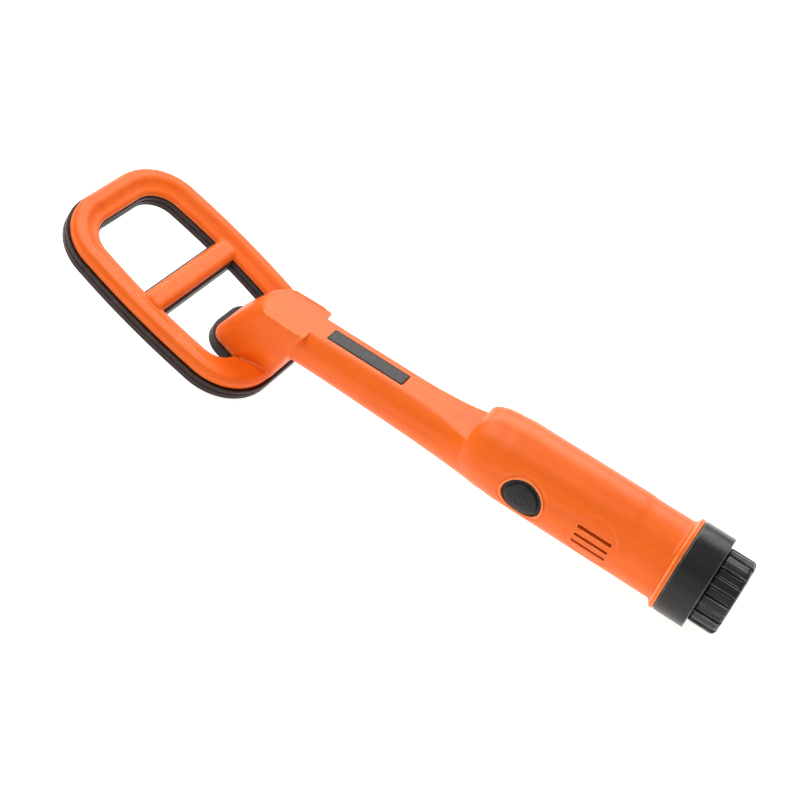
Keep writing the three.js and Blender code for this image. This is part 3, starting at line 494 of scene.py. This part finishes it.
# sections across a rail, (inset from its outer edge, n), and across the crossbar, (x, n)
SHELL_SECTION = rounded([(1.4, SEAM_N + GAP), (1.5, 11), (3.2, 13.2), (7.4, 13), (8.8, 12.5),
                         (10.4, 11.3), (12.2, 10.5), (14.7, 9.9), (15.7, 9.1),
                         (16.1, SEAM_N + GAP)], 0.7)
SHELL_HOLLOW = [(3.3, SEAM_N - 3), (3.3, 11.2), (7.3, 11.2), (10.3, 8.3), (13.8, SEAM_N),
                (13.8, SEAM_N - 3)]
COVER_SECTION = rounded([(EDGE, 0), (0, EDGE), (0, SEAM_N), (RAIL_WIDTH, SEAM_N),
                         (RAIL_WIDTH, EDGE), (RAIL_WIDTH - EDGE, 0)], 0.5)
BAR_SECTION = rounded([(-6.2, SEAM_N + GAP), (-6.2, 9.2), (-4.6, 11.1), (-3, 11.6), (3, 11.6),
                       (4.6, 11.1), (6.2, 9.2), (6.2, SEAM_N + GAP)], 0.8)
shell_section = Outline(SHELL_SECTION, 5, 0.08)
shell_hollow = Outline(SHELL_HOLLOW, 5, 0.1)
cover_section = Outline(COVER_SECTION, 5, 0.1)
bar_section = Outline(BAR_SECTION, 8, 0.08)


def rail_inset(x, y):
    """How far in from the frame's outer edge, as if the rail were RAIL_WIDTH wide all along."""
    outer, window = -outer_edge(x, y), window_edge(x, y)
    return RAIL_WIDTH * outer / np.maximum(outer + window, 1)


def upper_shell(x, y, n):
    inset = rail_inset(x, y)
    rail = without(shell_section(inset, n), shell_hollow(inset, n), 0.2)
    bar = both(bar_section(x - CROSSBAR_X, n), np.abs(y) - 34.4, 3)
    bar = without(bar, both(both(np.abs(x - CROSSBAR_X) - 4.2, n - 9.6), np.abs(y) - 33))
    shape = either(rail, bar, 0.7)
    foot = foot_edge(x, y)
    hx, hz = coil_to_handle(x, n)
    side = block_side(hx, y, hz)
    shape = without(shape, both(side - 0.12, FOOT_N - n), 0.2)
    bead = np.hypot(side - 0.1, rail + 0.05) - JUNCTION_BEAD_RADIUS
    shape = either(shape, both(bead, FOOT_N + 1 - n), 0.2)
    plate = both(foot + 0.2, between(n, SEAM_N + GAP, FOOT_N), 0.2)
    shape = either(shape, plate)
    for along, across in FOOT_SCREWS:
        shape = without(shape, np.hypot(x - along, np.abs(y) - across) - FOOT_PLATE_HOLE_RADIUS)
    return without(shape, np.hypot(x - COIL_LEAD_HOLE[0], y) - COIL_LEAD_HOLE[1])


def lower_cover(x, y, n):
    inset = rail_inset(x, y)
    bar = both(between(x, CROSSBAR_X - CROSSBAR_HALF, CROSSBAR_X + CROSSBAR_HALF), np.abs(y) - 33)
    nose = tongue_edge(x, y) - 0.2
    tongue = foot_edge(x, y) + TONGUE_LEDGE
    prisms = both(either(bar, nose, 0.5), between(n, 0, SEAM_N), EDGE * 1.5)
    shape = either(cover_section(inset, n), prisms, 0.5)
    groove = np.hypot(np.minimum(inset, RAIL_WIDTH - inset), n - COVER_GROOVE_N)
    shape = without(shape, groove - COVER_GROOVE_RADIUS, 0.15)
    hollow = between(inset, COVER_WALL, RAIL_WIDTH - COVER_WALL)
    hollow = np.minimum(hollow, np.minimum(bar + COVER_WALL, tongue))
    return without(shape, both(hollow, COVER_WALL - n), 0.3)


def cap(x, y, z):
    reach = np.hypot(y, z)
    collar = both(reach - FLANGE_RADIUS, between(x, 0, CAP_LENGTH), 0.6)
    turn = np.arctan2(y, -z) / (2 * math.pi) - KNOB_FIRST_RIB
    phase = (turn * KNOB_RIBS + 0.5 - KNOB_RIB_SHARE / 2) % 1
    past_side = np.abs(phase - 0.5) - KNOB_RIB_SHARE / 2
    raised = 1 - smoothstep(past_side, -0.02, 0.03)
    notch = 1 - smoothstep(np.abs(past_side - KNOB_NOTCH_OFFSET), 0.015, 0.05)
    notch = notch * (1 - smoothstep(x, KNOB_END_X - 3.2, KNOB_END_X - 1.2))
    rise = (KNOB_RADIUS - KNOB_ROOT_RADIUS) * raised - KNOB_NOTCH_DEPTH * notch
    knob = reach - KNOB_ROOT_RADIUS - rise
    knob = both(0.7 * knob, between(x, CAP_LENGTH - 1, KNOB_END_X), 2.8)
    shape = either(collar, knob, 0.35)
    inside = both(reach - CAP_BORE_RADIUS, x - CAP_FLOOR_X)
    inside = either(inside, both(reach - KNOB_HOLLOW_RADIUS, x - KNOB_HOLLOW_END_X))
    shape = without(shape, inside, 0.25)
    thread = helix(x, y, z, CAP_BORE_RADIUS, THREAD_START_X + THREAD_PITCH / 2, -1)
    return either(shape, thread, 0.15)


def button(x, y, z):
    reach = np.hypot(y, z)
    side = x - BUTTON_X
    off = np.hypot(side, z)
    rim = button_oval(side, z)
    top = both(rim, reach - BUTTON_RIM_RADIUS, 0.5)
    plateau = both(rim + BUTTON_PLATEAU_INSET, reach - BUTTON_TOP_RADIUS, 1.0)
    top = either(top, plateau, 0.3)
    # the sign is a ring with a gap at the top and a stroke through the gap
    sign = both(np.abs(off - SIGN_RADIUS) - SIGN_HALF_LINE, -both(np.abs(side) - 1.1, -z))
    sign = either(sign, both(np.abs(side) - SIGN_HALF_LINE, between(z, 1.2, 4.4)), 0.1)
    sign = both(sign, between(reach, BUTTON_TOP_RADIUS - 1, BUTTON_TOP_RADIUS + 0.2), 0.1)
    top = either(top, sign, 0.15)
    shape = both(top, y - BUTTON_SEAT_Y + 1.1, 0.3)
    stem = both(off - BUTTON_STEM_RADIUS, between(y, BUTTON_SEAT_Y - 2, -14.3), 0.2)
    return either(shape, stem, 0.2)


def label(x, y, z):
    edge = both(between(x, LABEL["x0"], LABEL["x1"]), np.abs(y) - LABEL["half"], 0.8)
    return both(edge, between(z, FLAT_Z - 0.5, FLAT_Z + 0.1), 0.12)


# ---------------------------------------------------------------- meshing
SLAB = 12
CHUNK = 20000
NORMAL_STEP = 0.08
BEND_STEP = 0.45


def gradient(field, points, step):
    made = np.empty_like(points)
    for axis in range(3):
        move = np.zeros(3)
        move[axis] = step
        made[:, axis] = (sample(field, points + move) - sample(field, points - move)) / (2 * step)
    return made


def sample(field, points):
    made = np.empty(len(points))
    for i in range(0, len(points), CHUNK):
        x, y, z = points[i : i + CHUNK].T
        made[i : i + CHUNK] = field(x, y, z)
    return made


def surface(field, xs, ys, zs):
    """Points, quads, normals and curvature (per mm) of the zero level of field over a grid."""
    values = np.empty((len(xs), len(ys), len(zs)))
    for i in range(0, len(xs), SLAB):
        slab = xs[i : i + SLAB, None, None]
        values[i : i + SLAB] = field(slab, ys[None, :, None], zs[None, None, :])
    inside = values < 0
    corners = [(i, j, k) for i in (0, 1) for j in (0, 1) for k in (0, 1)]
    size = np.array(values.shape) - 1
    count = np.zeros(size, np.int8)
    for i, j, k in corners:
        count += inside[i : i + size[0], j : j + size[1], k : k + size[2]]
    active = (count > 0) & (count < 8)
    cells = np.argwhere(active)
    number = np.full(active.shape, -1, np.int64)
    number[active] = np.arange(len(cells))
    stations = (xs, ys, zs)

    total, hits = np.zeros((len(cells), 3)), np.zeros((len(cells), 1))
    for a in corners:
        for axis in range(3):
            if a[axis]:
                continue
            b = list(a)
            b[axis] = 1
            ia, ib = cells + a, cells + b
            va, vb = values[tuple(ia.T)], values[tuple(ib.T)]
            crossed = (va < 0) != (vb < 0)
            t = np.where(crossed, va / np.where(crossed, va - vb, 1), 0)[:, None]
            pa = np.stack([stations[m][ia[:, m]] for m in range(3)], 1)
            pb = np.stack([stations[m][ib[:, m]] for m in range(3)], 1)
            total += crossed[:, None] * (pa + (pb - pa) * t)
            hits += crossed[:, None]
    points = total / hits

    quads = []
    for axis in range(3):
        u, v = (axis + 1) % 3, (axis + 2) % 3
        ahead = [slice(None)] * 3
        behind = [slice(None)] * 3
        ahead[axis], behind[axis] = slice(1, None), slice(None, -1)
        for out in (False, True):
            change = (inside[tuple(behind)] ^ out) & ~(inside[tuple(ahead)] ^ out)
            edges = np.argwhere(change)
            eu, ev = edges[:, u], edges[:, v]
            edges = edges[(eu > 0) & (ev > 0) & (eu < size[u]) & (ev < size[v])]
            ring = []
            for du, dv in ((-1, -1), (0, -1), (0, 0), (-1, 0)):
                cell = edges.copy()
                cell[:, u] += du
                cell[:, v] += dv
                ring.append(number[tuple(cell.T)])
            quad = np.stack(ring, 1)
            quads.append(quad[:, ::-1] if out else quad)
    quads = np.concatenate(quads)

    reach = 0.5 * min(np.diff(s).min() for s in stations)
    for _ in range(3):
        slope = gradient(field, points, 0.03)
        steep = np.maximum((slope**2).sum(1), 0.05)
        step = -(sample(field, points) / steep)[:, None] * slope
        length = np.linalg.norm(step, axis=1, keepdims=True)
        points = points + step * np.minimum(1, reach / np.maximum(length, 1e-9))
    normals = gradient(field, points, NORMAL_STEP)
    normals /= np.maximum(np.linalg.norm(normals, axis=1, keepdims=True), 1e-9)
    bend = -6 * sample(field, points)
    for move in BEND_STEP * np.concatenate([np.eye(3), -np.eye(3)]):
        bend += sample(field, points + move)
    return points, quads, normals, bend / BEND_STEP**2


def stations(*spans):
    """Grid stations from (start, end, step) spans that follow each other."""
    made = [np.linspace(a, b, max(2, round((b - a) / step) + 1)) for a, b, step in spans]
    return np.unique(np.concatenate(made).round(5))


def piece(name, place, field, grid, body, slot, *nodes):
    """Meshes a field as an object that rides on the body and stands for the CAD nodes."""
    points, quads, normals, bend = surface(field, *grid)
    mesh = bpy.data.meshes.new(name)
    mesh.vertices.add(len(points))
    mesh.vertices.foreach_set("co", place.to_row(points).astype(np.float32).ravel())
    mesh.loops.add(quads.size)
    mesh.loops.foreach_set("vertex_index", quads.astype(np.int32).ravel())
    mesh.polygons.add(len(quads))
    mesh.polygons.foreach_set("loop_start", np.arange(0, quads.size, 4, dtype=np.int32))
    mesh.update(calc_edges=True)
    mesh.validate()
    mesh.shade_smooth()
    mesh.normals_split_custom_set_from_vertices(place.turn(normals))
    mesh.attributes.new("bend", "FLOAT", "POINT").data.foreach_set("value", bend.astype(np.float32))
    mesh.materials.append(MATERIALS[slot])
    made = bpy.data.objects.new(name, mesh)
    bpy.context.scene.collection.objects.link(made)
    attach(made, body)
    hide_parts(*nodes)


# ---------------------------------------------------------------- materials
class Nodes:
    """A node material round one Principled shader, on the object's own coordinates."""

    def __init__(self, name, **values):
        self.material = bpy.data.materials.new(name)
        self.material.use_nodes = True
        self.tree = self.material.node_tree
        self.shader = self.tree.nodes["Principled BSDF"]
        self.coordinates = self.tree.nodes.new("ShaderNodeTexCoord").outputs["Object"]
        for key, value in values.items():
            self.shader.inputs[key.replace("_", " ")].default_value = value

    def put(self, socket, value):
        """Sets an input, or links another node's output to it."""
        if isinstance(value, bpy.types.NodeSocket):
            self.tree.links.new(value, socket)
        else:
            socket.default_value = value

    def add(self, kind, **inputs):
        node = self.tree.nodes.new(kind)
        for key, value in inputs.items():
            self.put(node.inputs[key.replace("_", " ")], value)
        return node

    def drive(self, **inputs):
        """Links each value to the shader's input of that name."""
        for key, value in inputs.items():
            self.put(self.shader.inputs[key.replace("_", " ")], value)

    def stretched(self, scale):
        """The object's coordinates with another scale along each axis."""
        return self.add("ShaderNodeMapping", Vector=self.coordinates, Scale=scale).outputs["Vector"]

    def noise(self, scale, detail=3.0, vector=None, roughness=0.5):
        node = self.add("ShaderNodeTexNoise", Vector=vector or self.coordinates, Scale=scale,
                        Detail=detail, Roughness=roughness)
        return node.outputs["Fac"]

    def ramp(self, value, low, high, to_low=0.0, to_high=1.0):
        """low to high of the value, carried to to_low to to_high and held there beyond."""
        node = self.add("ShaderNodeMapRange", Value=value, From_Min=low, From_Max=high,
                        To_Min=to_low, To_Max=to_high)
        return node.outputs["Result"]

    def maths(self, operation, a, b=0.0):
        node = self.tree.nodes.new("ShaderNodeMath")
        node.operation = operation
        self.put(node.inputs[0], a)
        self.put(node.inputs[1], b)
        return node.outputs[0]

    def mix(self, factor, a, b):
        node = self.tree.nodes.new("ShaderNodeMix")
        node.data_type = "RGBA"
        self.put(node.inputs[0], factor)
        self.put(node.inputs[6], a)
        self.put(node.inputs[7], b)
        return node.outputs[2]

    def bump(self, height, strength, distance, normal=None):
        node = self.add("ShaderNodeBump", Height=height, Strength=strength, Distance=distance)
        if normal is not None:
            self.put(node.inputs["Normal"], normal)
        return node.outputs["Normal"]

    def bend(self):
        """Curvature that piece() stored: above 0 on edges, below 0 in creases, 0 on CAD nodes."""
        node = self.tree.nodes.new("ShaderNodeAttribute")
        node.attribute_name = "bend"
        return node.outputs["Fac"]


def shade(colour, factor):
    return tuple(min(1.0, c * factor) for c in colour[:3]) + (1.0,)


def deepen(colour, amount):
    """A darker and redder tone of the colour."""
    red, green, blue = colour[:3]
    return (red * (1 - 0.4 * amount), green * (1 - 1.2 * amount), blue * (1 - amount), 1.0)


def moulded(name, colour, pale, roughness, grain=0.05, mottle=0.1, wear_and_highlight=0.35, specular=0.5,
            painted_crease_shade=0.12):
    """Moulded plastic: flow marks, fine grain (mm deep), edges paler as wear and as a painted highlight, painted
    shade in creases, hairline scratches.
    """
    m = Nodes(name, Specular_IOR_Level=specular)
    flow = m.noise(1.0, 4, m.stretched((7, 170, 170)), 0.6)
    cloud = m.noise(22, 3)
    tone = m.maths("ADD", m.maths("MULTIPLY", flow, 0.6), m.maths("MULTIPLY", cloud, 0.4))
    tone = m.ramp(tone, 0.3, 0.7)
    base = m.mix(tone, deepen(colour, mottle), shade(colour, 1 + 0.5 * mottle))
    # convex edges paler: partly wear, partly a painted highlight along them
    edge = m.ramp(m.bend(), 0.7, 1.9)
    worn_and_highlit_edge = m.maths("MULTIPLY", edge, m.ramp(m.noise(160, 4), 0.35, 0.6, 0.35, 1))
    base = m.mix(m.maths("MULTIPLY", worn_and_highlit_edge, wear_and_highlight), base, pale)
    # painted shade: creases darkened towards 0.35 of the colour
    hollow = m.ramp(m.bend(), -1.0, -2.2)
    base = m.mix(m.maths("MULTIPLY", hollow, painted_crease_shade), base, shade(colour, 0.35))
    scratch = m.ramp(m.noise(1.0, 2, m.stretched((60, 2600, 2600))), 0.66, 0.74)
    wander = m.ramp(m.noise(420, 3), 0.3, 0.7, roughness - 0.05, roughness + 0.06)
    rough = m.maths("ADD", wander, m.maths("MULTIPLY", scratch, 0.12))
    rough = m.maths("SUBTRACT", rough, m.maths("MULTIPLY", worn_and_highlit_edge, 0.06))
    broad = m.bump(m.noise(70, 2), 0.2, 0.0001)
    normal = m.bump(m.noise(3600, 2), 1.0, grain * 0.001, broad)
    m.drive(Base_Color=base, Roughness=rough, Normal=normal)
    return m.material


def rubber(name, colour, roughness):
    """Dusty rubber, with painted shade in its creases, and paler on its edges."""
    m = Nodes(name, Specular_IOR_Level=0.25)
    dust = m.ramp(m.noise(140, 5, None, 0.65), 0.45, 0.75)
    base = m.mix(dust, colour, shade(colour, 1.45))
    # painted shade: creases darkened to a tenth of the colour
    base = m.mix(m.ramp(m.bend(), -0.1, -0.7, 0, 0.9), base, shade(colour, 0.1))
    base = m.mix(m.ramp(m.bend(), 0.5, 1.6, 0, 0.6), base, shade(colour, 3))
    rough = m.ramp(m.noise(900, 3), 0.3, 0.7, roughness - 0.08, roughness + 0.08)
    m.drive(Base_Color=base, Roughness=rough, Normal=m.bump(m.noise(4200, 2), 1.0, 0.00004))
    return m.material


def metal(name, colour, roughness):
    """Drawn or brushed metal, streaked across X."""
    m = Nodes(name, Metallic=1.0)
    brushed = m.noise(1.0, 3, m.stretched((2000, 90, 90)))
    base = m.mix(brushed, shade(colour, 0.85), shade(colour, 1.08))
    rough = m.ramp(brushed, 0.3, 0.7, roughness - 0.07, roughness + 0.1)
    m.drive(Base_Color=base, Roughness=rough, Normal=m.bump(brushed, 0.5, 0.00002))
    return m.material


def board(name, colour):
    """Solder mask over copper tracks."""
    m = Nodes(name, Specular_IOR_Level=0.5, Coat_Weight=0.25, Coat_Roughness=0.15)
    brick = m.add("ShaderNodeTexBrick", Vector=m.stretched((1, 1, 1)), Scale=260.0)
    tracks = m.ramp(brick.outputs["Fac"], 0.2, 0.8)
    base = m.mix(m.maths("MULTIPLY", tracks, 0.5), colour, shade(colour, 1.7))
    base = m.mix(m.ramp(m.noise(300, 3), 0.4, 0.7, 0, 0.4), base, shade(colour, 0.7))
    rough = m.ramp(m.noise(700, 2), 0.3, 0.7, 0.32, 0.48)
    m.drive(Base_Color=base, Roughness=rough, Normal=m.bump(tracks, 0.6, 0.00003))
    return m.material


def wound(name, colour):
    """Enamelled wire laid side by side."""
    m = Nodes(name, Metallic=0.9)
    wave = m.add("ShaderNodeTexWave", Vector=m.stretched((0, 1, 1)), Scale=420.0, Distortion=0.6)
    turns = wave.outputs["Fac"]
    base = m.mix(turns, shade(colour, 0.6), shade(colour, 1.15))
    rough = m.ramp(turns, 0, 1, 0.42, 0.28)
    m.drive(Base_Color=base, Roughness=rough, Normal=m.bump(turns, 0.8, 0.0002))
    return m.material


def printed_label(name, fill, border):
    """Satin foil with a dark printed border round a plain panel."""
    m = Nodes(name, Specular_IOR_Level=0.3)
    centre = HANDLE.to_row(np.array([[(LABEL["x0"] + LABEL["x1"]) / 2, 0, FLAT_Z]]))[0]
    place = m.add("ShaderNodeVectorMath", Vector=m.coordinates)
    place.operation = "SUBTRACT"
    place.inputs[1].default_value = tuple(centre)
    apart = m.add("ShaderNodeSeparateXYZ", Vector=place.outputs[0]).outputs
    half_length = (LABEL["x1"] - LABEL["x0"]) / 2000
    half_width = LABEL["half"] / 1000
    border_width = LABEL_BORDER / 1000
    along = m.maths("GREATER_THAN", m.maths("ABSOLUTE", apart[0]), half_length - border_width)
    across = m.maths("GREATER_THAN", m.maths("ABSOLUTE", apart[1]), half_width - border_width)
    speck = m.ramp(m.noise(2600, 3), 0.35, 0.7)
    panel = m.mix(speck, shade(fill, 0.88), shade(fill, 1.1))
    base = m.mix(m.maths("MAXIMUM", along, across), panel, border)
    rough = m.ramp(m.noise(500, 3), 0.3, 0.7, 0.36, 0.5)
    m.drive(Base_Color=base, Roughness=rough, Normal=m.bump(m.noise(5200, 2), 0.8, 0.00003))
    return m.material


# each of the record's material slots: how it is made, and its values
FINISHES = {
    "orange_plastic": (moulded, {
        "colour": (0.86, 0.142, 0.004, 1), "pale": (1, 0.46, 0.19, 1), "roughness": 0.36,
        "grain": 0.05, "mottle": 0.2, "wear_and_highlight": 0.7, "specular": 0.3, "painted_crease_shade": 0.3}),
    "cover_plastic": (moulded, {
        "colour": (0.021, 0.007, 0.0055, 1), "pale": (0.10, 0.07, 0.06, 1), "roughness": 0.4,
        "grain": 0.06, "mottle": 0.2, "wear_and_highlight": 0.5, "specular": 0.25}),
    "cap_plastic": (moulded, {
        "colour": (0.009, 0.0095, 0.0095, 1), "pale": (0.2, 0.2, 0.195, 1), "roughness": 0.24,
        "grain": 0.04, "mottle": 0.2, "wear_and_highlight": 0.8, "specular": 0.35}),
    "chip_plastic": (moulded, {
        "colour": (0.012, 0.012, 0.013, 1), "pale": (0.06, 0.06, 0.06, 1), "roughness": 0.5}),
    "tray_plastic": (moulded, {
        "colour": (0.62, 0.60, 0.55, 1), "pale": (0.75, 0.74, 0.7, 1), "roughness": 0.45}),
    "connector_plastic": (moulded, {
        "colour": (0.72, 0.7, 0.63, 1), "pale": (0.8, 0.8, 0.76, 1), "roughness": 0.42}),
    "trimmer_plastic": (moulded, {
        "colour": (0.03, 0.12, 0.40, 1), "pale": (0.2, 0.3, 0.5, 1), "roughness": 0.38}),
    "capacitor_can": (moulded, {
        "colour": (0.07, 0.11, 0.27, 1), "pale": (0.5, 0.5, 0.52, 1), "roughness": 0.3}),
    "button_rubber": (rubber, {"colour": (0.011, 0.012, 0.011, 1), "roughness": 0.42}),
    "seal_rubber": (rubber, {"colour": (0.012, 0.012, 0.013, 1), "roughness": 0.7}),
    "cable_jacket": (rubber, {"colour": (0.012, 0.012, 0.013, 1), "roughness": 0.5}),
    "red_wire": (rubber, {"colour": (0.40, 0.02, 0.015, 1), "roughness": 0.42}),
    # dark red-brown membrane: a painted shade, the tone of shaded orange plastic seen through the sounder's slots
    "membrane": (rubber, {"colour": (0.045, 0.008, 0.004, 1), "roughness": 0.8}),
    "label_plastic": (printed_label, {
        "fill": (0.037, 0.031, 0.027, 1), "border": (0.006, 0.005, 0.004, 1)}),
    "copper": (wound, {"colour": (0.62, 0.24, 0.09, 1)}),
    "steel": (metal, {"colour": (0.55, 0.56, 0.58, 1), "roughness": 0.3}),
    "bright_metal": (metal, {"colour": (0.68, 0.69, 0.7, 1), "roughness": 0.24}),
    "battery_jacket": (metal, {"colour": (0.06, 0.065, 0.075, 1), "roughness": 0.38}),
    "circuit_board": (board, {"colour": (0.012, 0.16, 0.06, 1)}),
}
MATERIALS = {name: make(name, **values) for name, (make, values) in FINISHES.items()}

slot_of = {s["node"]: s["material_slot"] for s in frame["record"]["subparts"]}
for node_name, node in frame["nodes"].items():
    node.data.materials.clear()
    node.data.materials.append(MATERIALS[slot_of[node_name]])

# ---------------------------------------------------------------- the visible mouldings
# the grids' spans reach just past each moulding, and are finer where it has small features
housing_grid = (
    stations((-256, -196, 0.5), (-196, -118, 1.2), (-118, -91, 0.5), (-91, -63, 0.4),
             (-63, -54, 0.9), (-54, -24, 0.45), (-24, -8, 0.9), (-8, 13, 0.45)),
    stations((-26, 26, 0.62)),
    stations((-38, -24.5, 0.62), (-24.5, -8, 0.62), (-8, 8, 0.42), (8, 26, 0.62)),
)
coil_grid = (stations((-69, 69, 0.5)), stations((-48.5, 48.5, 0.5)), stations((-1, 15, 0.4)))
cap_grid = (
    stations((-1, 14, 0.36), (14, 32, 0.45)),
    stations((-25.2, 25.2, 0.33)),
    stations((-25.2, 25.2, 0.33)),
)
button_grid = (
    stations((-89, -66, 0.22)),
    stations((-23, -13.5, 0.2)),
    stations((-10.5, 10.5, 0.22)),
)
label_grid = (
    stations((-202.5, -156.5, 0.25)),
    stations((-5, 5, 0.2)),
    stations((5.5, 7.2, 0.12)),
)
piece("moulded_housing", HANDLE, housing, housing_grid, "detector", "orange_plastic",
      "handle_housing")
piece("moulded_coil_shell", COIL, upper_shell, coil_grid, "detector", "orange_plastic",
      "coil_upper_shell")
piece("moulded_coil_cover", COIL, lower_cover, coil_grid, "detector", "cover_plastic",
      "coil_lower_cover")
piece("ribbed_cap", HANDLE, cap, cap_grid, "cap", "cap_plastic", "battery_cap")
piece("domed_button", HANDLE, button, button_grid, "button", "button_rubber", "power_button")
piece("label_panel", HANDLE, label, label_grid, "detector", "label_plastic", "label_plate")

# ---------------------------------------------------------------- floor, light and camera
FLOOR_HALF = 40.0
floor_corners = [
    (x * FLOOR_HALF, y * FLOOR_HALF, 0) for x, y in ((-1, -1), (1, -1), (1, 1), (-1, 1))
]
floor_mesh = bpy.data.meshes.new("floor")
floor_mesh.from_pydata(floor_corners, [], [(0, 1, 2, 3)])
floor = bpy.data.objects.new("floor", floor_mesh)
bpy.context.scene.collection.objects.link(floor)
paper = Nodes("floor_paper", Specular_IOR_Level=0.1, Roughness=0.9, Emission_Strength=0.9)
paper.shader.inputs["Emission Color"].default_value = (1, 0.995, 0.975, 1)
paper.drive(Base_Color=paper.mix(paper.noise(3, 3), (0.5, 0.495, 0.48, 1), (0.54, 0.535, 0.52, 1)))
floor_mesh.materials.append(paper.material)

world = bpy.data.worlds.new("studio")
bpy.context.scene.world = world
world.use_nodes = True
sky = world.node_tree.nodes["Background"]
sky.inputs["Color"].default_value = (1.0, 0.995, 0.98, 1)
sky.inputs["Strength"].default_value = 0.5
LIT_POINT = (0, 0, 0.03)


def softbox(name, location, size, power):
    """A rectangular light aimed at LIT_POINT."""
    data = bpy.data.lights.new(name, "AREA")
    data.shape = "RECTANGLE"
    data.size, data.size_y = size
    data.energy = power
    light = bpy.data.objects.new(name, data)
    light.location = location
    aim = np.array(LIT_POINT, float) - np.array(location, float)
    light.rotation_mode = "QUATERNION"
    light.rotation_quaternion = Vector(aim).to_track_quat("-Z", "Y")
    bpy.context.scene.collection.objects.link(light)


softbox("back", (-0.33, 0.9, 0.8), (1.3, 0.8), 12)
softbox("overhead", (-0.5, -0.1, 1.2), (0.8, 0.8), 8)
softbox("front", (0.5, -1.3, 0.45), (1.2, 0.9), 1.8)

CAMERA_LOCATION = (0.210796, -0.548311, 0.527838)
CAMERA_RIGHT = (0.838185, 0.505396, 0.204988)
CAMERA_DOWN = (0.473448, -0.487700, -0.733482)
CAMERA_FORWARD = (-0.270726, 0.711845, -0.648062)
camera_data = bpy.data.cameras.new("camera")
camera_data.sensor_width = 36
camera_data.lens = 70.443
camera_data.clip_start, camera_data.clip_end = 0.01, 50
camera = bpy.data.objects.new("camera", camera_data)
bpy.context.scene.collection.objects.link(camera)
camera.matrix_world = Matrix([
    (CAMERA_RIGHT[i], -CAMERA_DOWN[i], -CAMERA_FORWARD[i], CAMERA_LOCATION[i]) for i in range(3)
] + [(0, 0, 0, 1)])
bpy.context.scene.camera = camera
bpy.context.scene.view_settings.view_transform = "Standard"
